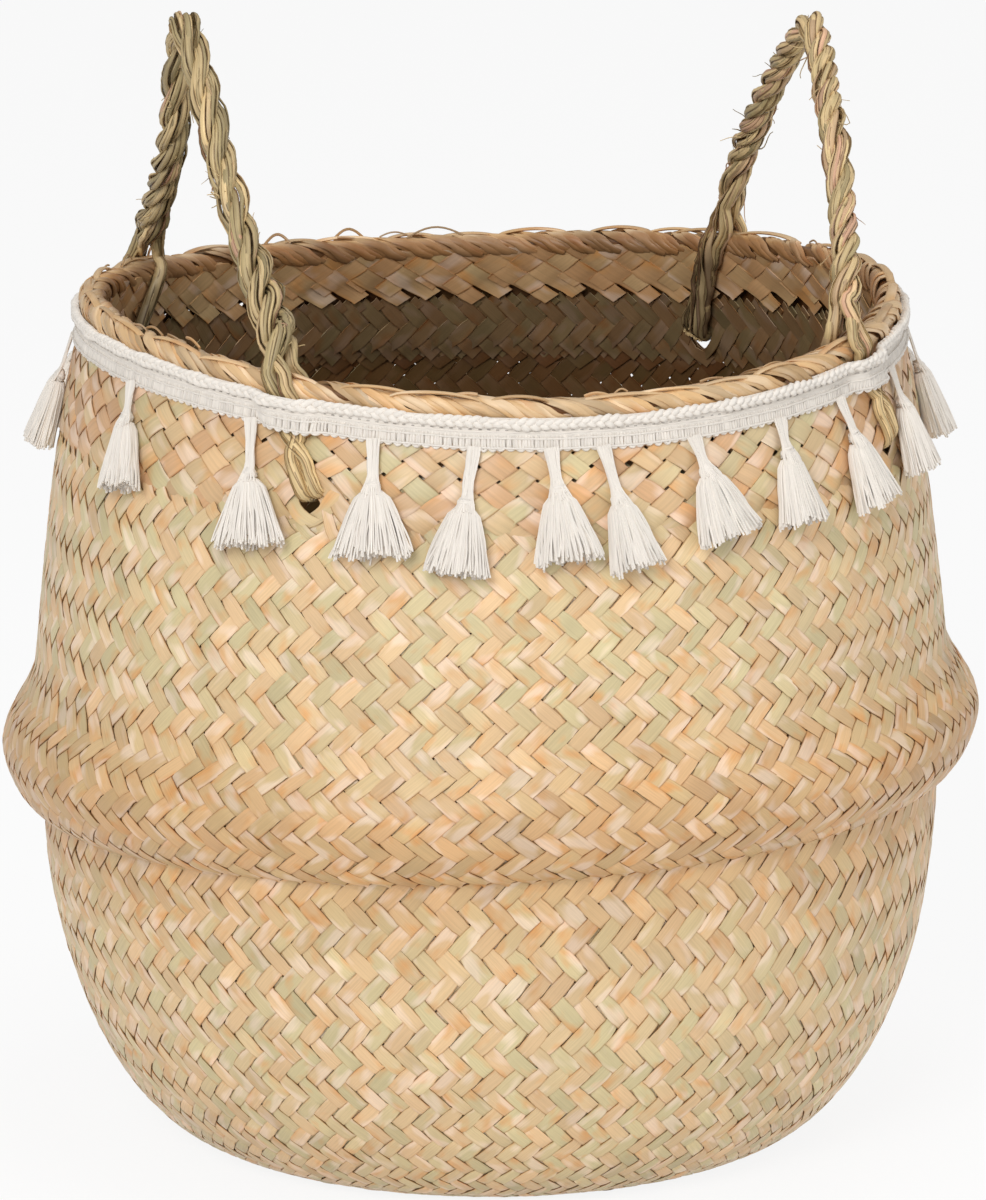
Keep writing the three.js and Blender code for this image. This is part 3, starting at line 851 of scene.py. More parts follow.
def make_body(weave, rim):
    """Fine twill from the base up into the hem, broad strands over it outside, and the turned hem inside."""
    fine = grass_finish("seagrass", weave.straw, weave.green, weave.amber, weave.pale, weave.inside)
    broad = grass_finish("seagrass_hem", rim.hem, weave.green, weave.amber, weave.pale, weave.inside, across=8)
    run = body_run(weave.strands, weave.width)
    crease, shoulder = round(row_at(run, CREASE_HEIGHT)), round(row_at(run, SHOULDER_HEIGHT))
    hem, fold = (TWILL * round(row_at(run, height) / TWILL) for height in (HEM_LOW, HEM_FOLD))
    deepest = -(weave.relief + weave.thickness / 2 + 0.1 * MM)

    def twill_level(height):
        lower = 1.1 * MM * smoothstep(height, HEM_LOW - 8 * MM, HEM_LOW)
        return deepest - lower - 0.15 * MM * (1 - smoothstep(height, 0, 6 * MM))

    def twill_width(height):
        return 1 - 0.05 * smoothstep(height, HEM_LOW - 22 * MM, HEM_LOW - 6 * MM)

    def under_level(height):
        return -4.4 * MM + 2.2 * MM * (1 - smoothstep(height, HEM_LOW - 6 * MM, HEM_LOW + 2 * MM))

    def under_width(height):
        return 0.98 - 0.08 * smoothstep(height, HEM_FOLD - 7 * MM, HEM_FOLD)

    def outer_level(height):
        return deepest + 0.5 * MM - 1.6 * MM * (1 - smoothstep(height, HEM_LOW - 5 * MM, HEM_LOW))

    def outer_width(height):
        return 1 - 0.13 * np.exp(-(((height - HEM_FOLD + 3 * MM) / (7 * MM)) ** 2))

    def inner_level(height):
        return np.full_like(height, -5.5 * MM)

    def inner_width(height):
        return 1 - 0.2 * (1 - smoothstep(height, HEM_FOLD - 2 * MM, HEM_FOLD + 7 * MM))

    def hem_layer(strands, lowest, **form):
        """Broad strands in a plain weave, from a height up to the rim."""
        broad_run = body_run(strands, weave.hem_width)
        rows = 2 * round(row_at(broad_run, lowest) / 2), broad_run["row"][-1] - 0.01
        return dict(TWILL_FORM, run=broad_run, strands=strands, rows=rows, finish=broad, tones=hem_tones,
                    period=2, phase=0, early=1, narrow=0.94, per_row=4, drift=0.3, pinch=0.1, **form)

    twill = dict(TWILL_FORM, run=run, strands=weave.strands, tones=twill_tones, finish=fine,
                 level=twill_level, width=twill_width)
    zones = (("lower_bowl", 0, crease), ("belly_fold", crease, shoulder), ("upper_wall", shoulder, hem + 2))
    for zone, low, high in zones:
        weave_layers(weave, dict(twill, name=zone, rows=(low, high), replaced=zone))
    weave_layers(weave, hem_layer(
        weave.hem_strands, HEM_LOW, name="upper_wall_hem", seed=31, level=outer_level, width=outer_width))
    # The single layer behind the inner hem takes most of the painted shade on its inner faces
    single = dict(twill, name="hem_band_single", rows=(hem - 2, fold), seed=43, finish=(fine[0], broad[1]),
                  level=under_level, width=under_width, inner_inside=0.86)
    # The inner hem takes painted warm shade all over, and only a little painted shade on its inner faces
    weave_layers(weave, single, hem_layer(
        weave.hem_strands - 6, HEM_FOLD, name="hem_band", replaced="hem_band", seed=53, level=inner_level,
        width=inner_width, inner_inside=0.06, worn=0.75, ragged=0.45))


def make_base(weave):
    """The flat twill mat of the base, with its ends on top of the body's first rows."""
    grass = bpy.data.objects["lower_bowl_right"].material_slots[0].material, "seagrass"
    reach = BASE_RADIUS - 3 * MM
    count = int(2 * reach / weave.width)
    for word, direction in (("across", 1), ("along", -1)):
        mesh, row, number, across, outside = slab_mesh("base_mat_" + word, count, -count / 2, count / 2, 2)
        rng = np.random.default_rng(90 + direction)
        line = (number - (count - 1) / 2 + 0.93 * across) * weave.width
        half = np.sqrt(np.maximum(reach**2 - line**2, (2 * MM) ** 2))
        place = row / (count / 2) * half
        crossing = place / weave.width - 0.5 * (count - 1 - 2 * number)
        over = direction * over_under(crossing * direction - 0.5)
        distance = np.hypot(line, place)
        height = 1.25 * MM + 1.7 * MM * smoothstep(distance, BASE_RADIUS - 18 * MM, BASE_RADIUS - 10 * MM)
        height = height + over * weave.relief + (outside - 0.5) * weave.thickness
        flat = (place, line) if direction > 0 else (line, place)
        # The base's upper face, inside the basket, takes painted shade that deepens towards the wall
        piece = slab_piece(
            mesh, np.stack([*flat, height], axis=1), across, place / weave.width + STRAND_STEP * number, grass,
            tone=np.clip(twill_tones(rng, count), 0, 1)[number.astype(int) % count],
            shade=wander(rng, 1, count, number, crossing / 2),
            inside=outside * (0.3 + 0.6 * smoothstep(distance, 0.45 * reach, reach)))
        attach(piece, "lower_basket")
        if direction > 0:
            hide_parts("base_mat")


# Border of the rim


def squared(wave):
    """A wave with fuller shoulders, for a section between round and square."""
    return np.sign(wave) * np.abs(wave) ** 0.7


def rim_arcs(start, reach, share):
    """Bearings along arcs of the rim, from where each starts and how far it reaches."""
    return start[:, None] + reach[:, None] * share


def make_plait(rng, elements, gold):
    """Slanting bundles of three strands, wrapped over the rim. They are frayed at one side."""
    count = elements * PLAIT_STRANDS
    share = np.linspace(0, 1, 14)
    bundle, order = np.arange(count) // PLAIT_STRANDS, np.arange(count) % PLAIT_STRANDS

    def by_bundle(size):
        return rng.normal(0, size, elements)[bundle]

    jog = by_bundle(0.12) + rng.normal(0, 0.03, count)
    start = FULL * (bundle + jog + 0.26 * order) / elements
    reach = WRAP_LENGTH / BORDER_MIDDLE * (1 + by_bundle(0.1))
    turn = np.radians(WRAP_START + WRAP_TURN * share) + by_bundle(0.08)[:, None]
    bearing = rim_arcs(start, -reach, share)
    off_frayed = np.mod(start + math.pi, FULL) - math.pi - FRAYED_BEARING
    frayed = 1 + FRAYED_MORE * np.exp(-((off_frayed / FRAYED_WIDTH) ** 2))
    swell = (1 + frayed * (by_bundle(0.07) + rng.normal(0, 0.05, count)))[:, None]
    swell = swell - 0.11 * np.abs(order - 1)[:, None]
    paths = round_points(
        BORDER_MIDDLE + BORDER_HALF * swell * squared(np.cos(turn)), bearing,
        BORDER_LEVEL + (BORDER_HEIGHT / 2 - 0.3 * MM) * swell * squared(np.sin(turn)))
    core = round_points(BORDER_MIDDLE, bearing, BORDER_LEVEL)
    flat = rng.uniform(2.1, 2.9, (count, 1))
    kind = rng.uniform(0, 1, elements)[bundle] + rng.normal(0, 0.2, count)
    shade = by_bundle(1.6) + rng.normal(0, 0.8, count)

    # Painted shade: the inner side of the border is darkened
    def inside(points, tube):
        facing = np.hypot(points[:, 0], points[:, 1]) - BORDER_MIDDLE
        return 0.85 * smoothstep(-facing, 0.5 * MM, 4.5 * MM)

    return tube_piece("rim_border_plait", paths, BORDER_STRAND, paths - core, 8, gold, flat,
                      tone=np.clip(kind, 0, 1), shade=shade, inside=inside)


def make_core(gold):
    """The bundle that the plait is wrapped round. It is coloured as painted shadow, the shade that shows in the
    gaps between the plait's strands.
    """
    paths = round_points(BORDER_MIDDLE, np.linspace(0, FULL * 1.004, 400)[None, :], BORDER_LEVEL)
    return tube_piece("rim_border_core", paths, BORDER_HEIGHT / 2 - 1.5 * MM, outward(paths), 12, gold,
                      BORDER_HALF / (BORDER_HEIGHT / 2) * 0.95, tone=0.2, shade=-6, inside=1.0)


def make_lashing(rng, gold):
    """Loose strands twisted along the top of the border."""
    share = np.linspace(0, 1, 14)
    start = FULL * (np.arange(LASHES) + rng.normal(0, 0.2, LASHES)) / LASHES
    bearing = rim_arcs(start, rng.uniform(20, 34, LASHES) * MM / BORDER_MIDDLE, share)
    arch = np.sin(math.pi * share)
    lean = rng.uniform(-0.6, 1.0, (LASHES, 1))
    radius = BORDER_MIDDLE + (1.6 + 1.4 * lean - 2.4 * lean * share) * MM
    height = RIM_HEIGHT - 1.3 * MM + (1.5 + rng.uniform(0, 1.2, (LASHES, 1))) * MM * arch**0.6
    paths = round_points(radius, bearing, height)
    upward = np.broadcast_to((0, 0, 1), paths.shape)
    return tube_piece("rim_border_lashing", paths, BORDER_STRAND, upward, 8, gold,
                      rng.uniform(1.8, 3.4, (LASHES, 1)), tone=rng.uniform(0, 1, LASHES),
                      shade=rng.normal(0, 1.4, LASHES), inside=0.0)


def make_loose_ends(rng, gold):
    """Thin ends that have sprung from the border. Five of them arch up at the back."""
    ends = LOOSE_ENDS
    share = np.linspace(0, 1, 10)
    start = rng.uniform(0, FULL, ends)
    reach = rng.uniform(5, 15, ends) * MM / BORDER_MIDDLE * rng.choice((-1, 1), ends)
    bearing = rim_arcs(start, reach, share)
    rise = rng.uniform(0.5, 2.4, (ends, 1)) * MM * np.sin(math.pi * share * rng.uniform(0.6, 1, (ends, 1)))
    for number, (middle, length) in enumerate(BACK_ARCHES):
        bearing[number] = math.radians(middle) + length * MM / BORDER_MIDDLE * (share - 0.5)
        rise[number] = ARCH_RISE * np.sin(math.pi * share)
    lean = rng.normal(0, 1.2 * MM, (ends, 1)) * share
    paths = round_points(BORDER_MIDDLE + rng.uniform(-3, 3, (ends, 1)) * MM + lean, bearing,
                         RIM_HEIGHT + 0.2 * MM + rise)
    return tube_piece("rim_border_ends", paths, rng.uniform(0.22, 0.45, (ends, 1)) * MM, outward(paths), 5, gold,
                      1.5, tone=rng.uniform(0, 1, ends), shade=rng.normal(-2, 1.5, ends), inside=0.3)


def make_border(rim):
    """Plaited border that wraps the rim, with what has worked loose from it."""
    # The last colour tints the border's inner faces as painted shade, and the pale one is partly painted
    # highlights
    gold = grass_finish("plaited_border", rim.border, linear(210, 180, 140), linear(206, 150, 96),
                        linear(238, 214, 182), linear(180, 150, 120), across=5, along=0.5)
    rng = np.random.default_rng(5)
    plait = make_plait(rng, rim.elements, gold)
    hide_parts("rim_border")
    for piece in (plait, make_core(gold), make_lashing(rng, gold), make_loose_ends(rng, gold)):
        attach(piece, "upper_basket")


# Trim and tassels


def tail_bulge(bearing, height):
    """How far the trim stands out where it runs over a rope tail."""
    most = np.zeros_like(bearing)
    for leg in LEG_BEARINGS:
        middle = leg + TAIL_SLANT * (RIM_HEIGHT - height) / HOLE_DROP
        away = np.abs(np.mod(bearing - middle + math.pi, FULL) - math.pi) * BORDER_MIDDLE
        most = np.maximum(most, 1 - smoothstep(away, TAIL_WIDTH / 2, 1.25 * TAIL_WIDTH))
    return most * (TAIL_THICKNESS + GAP)


def trim_points(offset, bearing, height):
    """Points of the trim, an offset outside the border or the wall, whichever it covers."""
    bearing, height = np.broadcast_arrays(bearing, height)
    face = wall_radius(height)
    face = face + (BORDER_OUTER - face) * smoothstep(height, WALL_TOP - 2 * MM, WALL_TOP)
    return round_points(face + tail_bulge(bearing, height) + offset, bearing, height)


def make_trim(trim):
    """Chain cord, ribbed tape and the stitches between them, all round the basket."""
    cotton = cotton_finish("cotton", trim.cotton, 3, 2.5)
    sewing = cotton_finish("sewing_thread", trim.sewing, 3, 2.5)
    rng = np.random.default_rng(11)
    count = trim.stitches
    pitch = FULL / count

    def sew(name, paths, radius, sides, flat=1.0, finish=cotton, replaced=None):
        piece = tube_piece(name, paths, radius, outward(paths), sides, finish, flat, 60,
                           shade=rng.normal(0, 1, len(paths)))
        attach(piece, "upper_basket")
        if replaced:
            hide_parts(replaced)

    cycles = count // 3
    angle = np.linspace(0, FULL * (1 + 1 / cycles), cycles * 12)
    phase = cycles * angle + FULL * np.arange(3)[:, None] / 3
    wander_up = 0.25 * MM * np.sin(9 * angle + 1) + 0.2 * MM * np.sin(23 * angle)
    uneven = 1 + 0.16 * np.sin(37 * angle + 2) + 0.14 * np.sin(61 * angle)
    chain = trim_points(1.9 * MM + 0.75 * MM * uneven * np.sin(2 * phase), angle,
                        CORD_TOP - CORD_HEIGHT / 2 + wander_up + 1.15 * MM * uneven * np.sin(phase))
    sew("trim_cord_chain", chain, 0.95 * MM * uneven**0.5, 7, 1.15, replaced="trim_cord")

    angle = np.linspace(0, FULL * 1.004, 500)[None, :]
    thin, tall = 0.7 * MM, (CORD_TOP - TAPE_LOW) / 2 - 0.35 * MM
    backing = trim_points(1.0 * MM, angle, (CORD_TOP + TAPE_LOW) / 2 - 0.2 * MM)
    sew("trim_tape_backing", backing, thin, 16, tall / thin)

    ribs = 3 * count
    bearing = (np.arange(ribs) + rng.normal(0, 0.06, ribs)) * pitch / 3
    share = np.linspace(0, 1, 7)
    arch = np.sin(math.pi * share)
    lean = 0.05 * pitch * arch * rng.choice((-1, 1), (ribs, 1))
    tape = trim_points((0.85 + 0.3 * arch) * MM, bearing[:, None] + lean, TAPE_TOP - share * TAPE_HEIGHT)
    sew("trim_tape_ribs", tape, 0.6 * MM, 6, replaced="trim_tape")

    share = np.linspace(0, 1, 8)
    start = (np.arange(count) + rng.normal(0, 0.06, count))[:, None] * pitch
    reach = rng.uniform(0.6, 1.2, count)[:, None] * MM
    picots = trim_points(
        1.1 * MM, start + pitch * 0.8 * share, TAPE_LOW + 0.5 * MM - reach * np.sin(math.pi * share))
    sew("trim_tape_picots", picots, 0.62 * MM, 5)

    angle = np.linspace(0, FULL * 1.005, 700)[None, :]
    rows = np.array([TAPE_TOP - 0.1 * MM, TAPE_TOP - 0.36 * TAPE_HEIGHT, TAPE_LOW + 0.5 * MM])[:, None]
    wave = 0.15 * MM * np.sin(count * angle / 2 + rows / MM)
    rings = trim_points(1.75 * MM + wave, angle, rows + 0.1 * MM * np.sin(31 * angle))
    sew("trim_tape_edges", rings, 0.42 * MM, 5)

    share = np.linspace(-0.36, 0.36, 4)
    stitch = (np.arange(count)[:, None] + share + rng.normal(0, 0.05, (count, 1))) * pitch
    sewn = trim_points(1.75 * MM - 6 * MM * share**2, stitch,
                       STITCH_HEIGHT + rng.normal(0, 0.08 * MM, (count, 1)))
    sew("trim_stitching_thread", sewn, 0.36 * MM, 5, finish=sewing, replaced="trim_stitching")


def tassel_place(joint):
    """Where a tassel hangs, from its node: its top, its three directions, and the ends of its parts."""
    node = frame["nodes"][joint["child"]]
    co = np.array([vertex.co for vertex in node.data.vertices])
    away = np.linalg.norm(co - np.array(joint["pos_m"]), axis=1)
    end = co[away > 0.94 * away.max()]
    top, foot = co[away < 4.6 * MM].mean(axis=0), end.mean(axis=0)
    down = (foot - top) / np.linalg.norm(foot - top)
    face = np.cross(down, np.array(joint["axis"]))
    face /= np.linalg.norm(face)
    if face @ top < 0:
        face = -face
    across = np.cross(face, down)
    reach = np.sort(np.unique(np.round((co - top) @ down, 4)))
    stops = [reach[0]]
    for value in reach:
        if value - stops[-1] > 0.9 * MM:
            stops.append(value)
    half, deep = (np.abs((end - foot) @ way).max() for way in (across, face))
    return top, down, face, across, stops[1], reach[-1], half, deep


def make_tassel(joint, number, trim, cotton):
    """One tassel: neck threads, a bound head, and a skirt of cut threads round a full core."""
    top, down, face, across, neck, length, half, deepest = tassel_place(joint)
    rng = np.random.default_rng(200 + number)
    share = np.linspace(0, 1, THREAD_POINTS)
    parts = []

    def add_threads(reach, aside, out, radius, flat=1.0):
        reach, aside, out, radius, flat = np.broadcast_arrays(reach, aside, out, radius, flat)
        points = top + reach[..., None] * down + aside[..., None] * across + out[..., None] * face
        parts.append((points, radius, flat))

    head = neck + HEAD_HEIGHT
    opening = 0.1 + 0.9 * share**0.85
    wide = HEAD_WIDE + (half - HEAD_WIDE) * opening
    deep = HEAD_DEEP + (deepest - HEAD_DEEP) * opening
    wide[0], deep[0] = 3.1 * MM, 2.3 * MM
    bell = (length - head) * share + head - 0.6 * MM

    fill = 1 - 0.5 * MM / deep
    core, core_deep, core_wide = smooth_curve(np.column_stack([
        np.concatenate([[neck - 1.4 * MM, neck + 0.8 * MM], bell[:-1]]),
        np.concatenate([[1.1 * MM, 2.3 * MM], (deep * fill)[:-1]]),
        np.concatenate([[1.6 * MM, 3.2 * MM], (wide * fill)[:-1]])]), THREAD_POINTS)[0].T
    add_threads(core[None], 0, 0, core_deep, core_wide / core_deep)

    count = NECK_THREADS
    spots = np.linspace(-1, 1, count)[:, None] + rng.normal(0, 0.05, (count, 1))
    reach = -1.5 * MM + (neck + 8 * MM) * share * rng.uniform(0.8, 1, (count, 1))
    sway = rng.normal(0, 0.25 * MM, (count, 1)) * np.sin(math.pi * share * rng.integers(1, 4, (count, 1)))
    below = smoothstep(reach, neck - 3 * MM, neck + 6 * MM)
    gather = 2.3 - 0.8 * np.sin(math.pi * np.clip(0.75 * reach / neck, 0, 1)) + 1.7 * below
    bulge = np.sqrt(np.maximum(1 - 0.75 * spots**2, 0.1))
    out = 0.35 * MM * (np.arange(count) % 2)[:, None] + 3.1 * MM * below * bulge
    add_threads(reach, spots * gather * MM + sway, out, YARN_RADIUS)

    wraps = HEAD_WRAPS
    turn = np.linspace(0, FULL * 1.04, THREAD_POINTS)
    level = (neck + np.sort(rng.uniform(-0.2, 2.2, wraps)) * MM)[:, None]
    size = (2.3 + 0.5 * np.linspace(0, 1, wraps) + rng.normal(0, 0.1, wraps))[:, None] * MM
    slip = rng.normal(0, 0.5 * MM, (wraps, 1)) * np.sin(turn + rng.uniform(0, 6, (wraps, 1)))
    add_threads(level + slip, size * np.cos(turn), 0.75 * size * np.sin(turn), YARN_RADIUS)

    count = trim.threads
    angle = FULL * (np.arange(count) + rng.uniform(-0.3, 0.3, count)) / count
    fill = rng.uniform(0.9, 1.04, count)
    end = (length - head + 0.8 * MM) * (1 + rng.normal(0, 0.03, count) + 0.03 * np.cos(5 * angle + number))
    reach = head - 0.8 * MM + end[:, None] * share
    curl = rng.normal(0, 0.45 * MM, (count, 1)) * np.sin(math.pi * share * rng.uniform(1, 2.6, (count, 1)))
    lock = 0.35 * MM * np.sin(7 * angle + number)[:, None] * share
    aside = (fill * np.cos(angle))[:, None] * wide + curl * share
    out = (fill * np.sin(angle))[:, None] * deep + 0.5 * curl[::-1] * share + lock
    add_threads(reach, aside, out, 0.4 * MM)

    count = trim.threads // 2
    angle = SPIRAL_STEP * np.arange(count)
    fill = 0.9 * np.sqrt((np.arange(count) + 0.5) / count)
    reach = length * (0.8 + 0.2 * share * (1 + rng.normal(0, 0.1, (count, 1))))
    aside, out = ((fill * wave(angle))[:, None] * np.interp(reach, bell, limit)
                  for wave, limit in ((np.cos, wide), (np.sin, deep)))
    add_threads(reach, aside, out, 0.48 * MM)

    paths, radii, flat = (np.concatenate([part[i] for part in parts]) for i in range(3))
    piece = tube_piece(joint["child"] + "_yarn", paths, radii, np.broadcast_to(face, paths.shape), 5, cotton,
                       flat, 70, shade=rng.normal(0, 1, len(paths)))
    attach(piece, joint["child"])
    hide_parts(joint["child"])


# Rope handles


def leg_foot(bearing):
    """Centre of a handle leg where it meets the border."""
    foot = round_points(BORDER_MIDDLE, bearing, RIM_HEIGHT)
    foot[2] += GAP + ROPE_RADIUS
    return foot


def handle_line(shape):
    """Centre line of a handle from its front foot over to its back foot."""
    feet = [leg_foot(math.radians(bearing)) for bearing in shape["bearings"]]
    apex = np.array([(feet[0][0] + feet[1][0]) / 2 + shape["lean"], 0, shape["apex"]])
    legs = []
    for foot in feet:
        legs.append([
            (foot[0] + (apex[0] - foot[0]) * rise, foot[1] * spread_share, foot[2] + (apex[2] - foot[2]) * rise)
            for spread_share, rise in shape["legs"]
        ])
    return legs[0] + [tuple(apex)] + legs[1][::-1]


def tail_route(bearing, ply, inner):
    """Centre of one ply of a tail, from its hole up to the top of the border."""
    heights = np.array([-39.2, -38.8, -37, -32, -26, -18, -9, -3, 2]) * MM + RIM_HEIGHT
    if inner:
        face = np.where(heights > WALL_TOP, BORDER_INNER, hem_radius(heights))
        radius = face - GAP - np.array([-7, -1, 1.9, 1.9, 1.9, 1.9, 1.9, 1.9, -0.6]) * MM
        aside = np.zeros(9)
    else:
        face = np.where(heights > WALL_TOP, BORDER_OUTER, wall_radius(heights))
        radius = face + GAP + np.array([-8, -2.5, 1.2, 1.9, 1.9, 1.9, 1.9, 1.9, 0.4]) * MM
        swap_over = np.cos(math.pi * smoothstep(heights, TAPE_LOW - 9 * MM, TAPE_LOW - MM))
        heights[:3] -= 1.7 * MM * ply
        aside = (2 * ply - 1) * np.array([2.3, 2.3, 2.4, 2.4, 2.3, 2.3, 2.4, 2.6, 2.8]) * MM * swap_over
        radius = radius + (2 * ply - 1) * 0.8 * MM * (1 - swap_over**2)
    angle = bearing + TAIL_SLANT * (RIM_HEIGHT - heights) / HOLE_DROP - aside / BORDER_MIDDLE
    return round_points(radius, angle, heights)


def frame_along(path):
    """Unit vectors at each point of a path: out of the basket, and across it."""
    along = np.gradient(path, axis=0)
    along /= np.linalg.norm(along, axis=1, keepdims=True)
    face = outward(path)
    face -= along * np.sum(face * along, axis=1, keepdims=True)
    face /= np.linalg.norm(face, axis=1, keepdims=True)
    return face, np.cross(along, face)


def above_rim(points):
    """Height of points above the rim, which rises and sinks round the basket."""
    bearing = np.arctan2(points[..., 1], points[..., 0])
    return points[..., 2] - RIM_HEIGHT - RIM_SADDLE * np.cos(2 * bearing)


def ply_looseness(shape, reach, length):
    """How far the plies stand apart along a handle: they loosen towards the rim."""
    front, back = shape["loose"]
    near_front = np.exp(-((reach / (48 * MM)) ** 2))
    near_back = np.exp(-(((length - reach) / (48 * MM)) ** 2))
    return 1 + front * near_front + back * near_back


def ply_lines(shape, rope, rng):
    """Centre line of each ply of a handle, from the hole of its front tail to that of its back one."""
    bearings = [math.radians(bearing) for bearing in shape["bearings"]]
    line, length = smooth_curve(handle_line(shape), 420)
    face, across = frame_along(line)
    reach = np.linspace(0, length, len(line))
    keep = (reach > 7 * MM) & (reach < length - 6 * MM)
    share = (reach - reach[keep][0]) / (reach[keep][-1] - reach[keep][0])
    front_twist, back_twist = shape["twist"]
    pitch = rope.pitch * (front_twist + (back_twist - front_twist) * smoothstep(share, 0.4, 0.6))
    twisted = np.concatenate([[0], np.cumsum(np.diff(reach) / pitch[1:])])
    twisted = (twisted - twisted[keep][0]) / (twisted[keep][-1] - twisted[keep][0])
    turns = round(float(np.sum(np.diff(reach) / pitch[1:])))
    drift = sum(rng.normal(0, 0.3) * np.sin(k * math.pi * share) for k in (3, 5, 8, 11))
    loose = ply_looseness(shape, reach, length)
    loose = loose + sum(rng.normal(0, 0.04) * np.sin(k * math.pi * share) for k in (7, 16, 23))
    lines = []
    for ply in range(rope.plies):
        swing = FULL * ((ply + 1) / rope.plies - 0.25) - FULL * turns * twisted + drift
        out = 2.7 * MM * shape["stout"] * loose
        helix = line + (out * np.cos(swing))[:, None] * across + (out * np.sin(swing))[:, None] * face
        inner = ply == rope.plies - 1
        front = tail_route(bearings[0], ply % 2, inner)
        back = tail_route(bearings[1], 1 - ply % 2, inner)
        whole, _ = smooth_curve(np.vstack([front, helix[keep][::4], back[::-1]]), 250)
        lines.append(whole)
    return lines


def loose_fibres(side, lines, rng, grass):
    """Thin fibres that have worked loose from the plies of a handle, with a tuft on its front leg."""
    stations = np.linspace(0, 1, 8)[:, None]
    paths, radii = [], []
    for number in range(LOOSE_FIBRES):
        tuft = number < TUFT_FIBRES and side == "left"
        line = lines[number % len(lines)]
        spot = int(len(line) * rng.uniform(0.12, 0.88))
        if tuft:
            spot = int(np.argmax(line[:, 2] > TUFT_HEIGHT)) + rng.integers(-3, 4)
        along = line[spot + 1] - line[spot]
        along /= np.linalg.norm(along)
        aside = rng.normal(0, 0.5 if tuft else 1, 3) + (np.array([-2, -1, 0]) if tuft else 0)
        aside -= along * (aside @ along)
        aside /= np.linalg.norm(aside)
        length = (rng.uniform(3, 6) if tuft else rng.uniform(4, 11)) * MM
        lift = (rng.uniform(0.6, 1.1) if tuft else rng.uniform(0.05, 0.35)) * stations**1.3
        curl = rng.normal(0, 0.12) * np.sin(math.pi * stations * rng.uniform(1, 2))
        heading = along * rng.choice((-1, 1)) * (0.5 if tuft else 1)
        start = line[spot] + 2.5 * MM * aside
        paths.append(start + length * (stations * heading + lift * aside + curl * np.cross(aside, along)))
        radii.append((rng.uniform(0.16, 0.34) * (1 - 0.5 * stations[:, 0])) * MM)
    return tube_piece("handle_" + side + "_fibres", paths, np.array(radii), outward(np.array(paths)), 5, grass,
                      sharp=60, tone=rng.uniform(0.3, 1, len(paths)), shade=rng.normal(0.5, 1.5, len(paths)))


def make_rope(side, rope, grass):
    """A handle: plies of grass strands twisted together, whose ends run on as the tails."""
    shape = HANDLES[side]
    rng = np.random.default_rng(shape["seed"])
    paths, faces, tones, widths = [], [], [], []
    lines = ply_lines(shape, rope, rng)
    for ply, centre in enumerate(lines):
        face, across = frame_along(centre)
        tail = 1 - smoothstep(above_rim(centre), 1 * MM, 12 * MM)
        run = np.linspace(0, FULL * 7, len(centre))
        share = np.linspace(0, 1, len(centre))
        fuller = 0.3 + 0.7 * ply_looseness(shape, share * ROPE_SPAN, ROPE_SPAN)
        body = PLY_RADIUS_IN_MM * shape["stout"] * fuller * MM
        inner = ply == rope.plies - 1
        broad = (np.where(share < 0.5, *shape["inner"]) if inner else TAIL_BROAD_IN_MM) * MM
        for strand in range(rope.strands):
            lay = FULL * strand / rope.strands + 0.45 * run + rng.normal(0, 0.15)
            lay = lay + rng.normal(0, 0.35) * np.sin(run * rng.uniform(0.1, 0.4))
            swell = 1 + 0.1 * rng.normal() + 0.09 * np.sin(run * rng.uniform(0.5, 1.6) + rng.uniform(0, 6))
            swell = swell + np.convolve(rng.normal(0, 0.09, len(run)), np.ones(3) / 1.8, mode="same")
            wide, deep = ((body + (end - body) * tail) * swell for end in (broad, TAIL_DEEP))
            off = (wide * np.cos(lay))[:, None] * across + (deep * np.sin(lay))[:, None] * face
            paths.append(centre + off)
            faces.append(off)
            tones.append(rng.uniform(*shape["tones"][ply % 3]))
            widths.append(rng.uniform(1.2, 2.6) * (1 + (0.6 if inner else 0.1) * tail))
    tones, shades = np.array(tones), rng.normal(0, 1.3, len(paths))

    def on_tail(points, tube, inner, low, high):
        """1 on the inner or the outer tails below one height over the rim, and 0 above another."""
        within = tube >= rope.strands * (rope.plies - 1)
        return np.where(within == inner, 1 - smoothstep(above_rim(points), low * MM, high * MM), 0)

    def tone(points, tube):
        return tones[tube] + (GOLDEN_TONE - tones[tube]) * on_tail(points, tube, False, -24, -15)

    # Painted shade: the inner tails are darkened from just above the rim down, where they hang in the shade
    # inside the basket
    def shade(points, tube):
        golden, inner_tail_shade = on_tail(points, tube, False, -24, -15), on_tail(points, tube, True, -16, 2)
        return shape["shade"] + shades[tube] + 1.2 * golden - 4.5 * inner_tail_shade

    twisted = tube_piece("handle_" + side + "_rope", paths, GRASS_RADIUS, faces, 6, grass, np.array(widths), 60,
                         tone=tone, shade=shade)
    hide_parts("handle_" + side, "tail_" + side + "_front", "tail_" + side + "_back")
    foot = leg_foot(math.radians(shape["bearings"][0]))[2]
    for piece in (twisted, loose_fibres(side, lines, rng, grass)):
        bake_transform(piece)


# Stage


def area_lamp(name, place, size, power):
    light = bpy.data.lights.new(name, "AREA")
    light.size = size
    light.energy = power
    lamp = bpy.data.objects.new(name, light)
    lamp.location = place
    lamp.rotation_euler = (Vector((0, 0, LAMP_TARGET)) - Vector(place)).to_track_quat("-Z", "Y").to_euler()
    bpy.context.scene.collection.objects.link(lamp)


def make_camera(stage):
    back = Vector((
        math.sin(stage.azimuth) * math.cos(stage.elevation),
        -math.cos(stage.azimuth) * math.cos(stage.elevation),
        math.sin(stage.elevation)))
    camera = bpy.data.cameras.new("camera")
    camera.lens = stage.lens
    camera.sensor_width = 36
    camera.shift_x = CAMERA_SHIFT
    camera.clip_end = 20
    eye = bpy.data.objects.new("camera", camera)
    eye.location = Vector((0, 0, CAMERA_TARGET)) + back * stage.distance
    eye.rotation_euler = (-back).to_track_quat("-Z", "Y").to_euler()
    bpy.context.scene.collection.objects.link(eye)
    bpy.context.scene.camera = eye


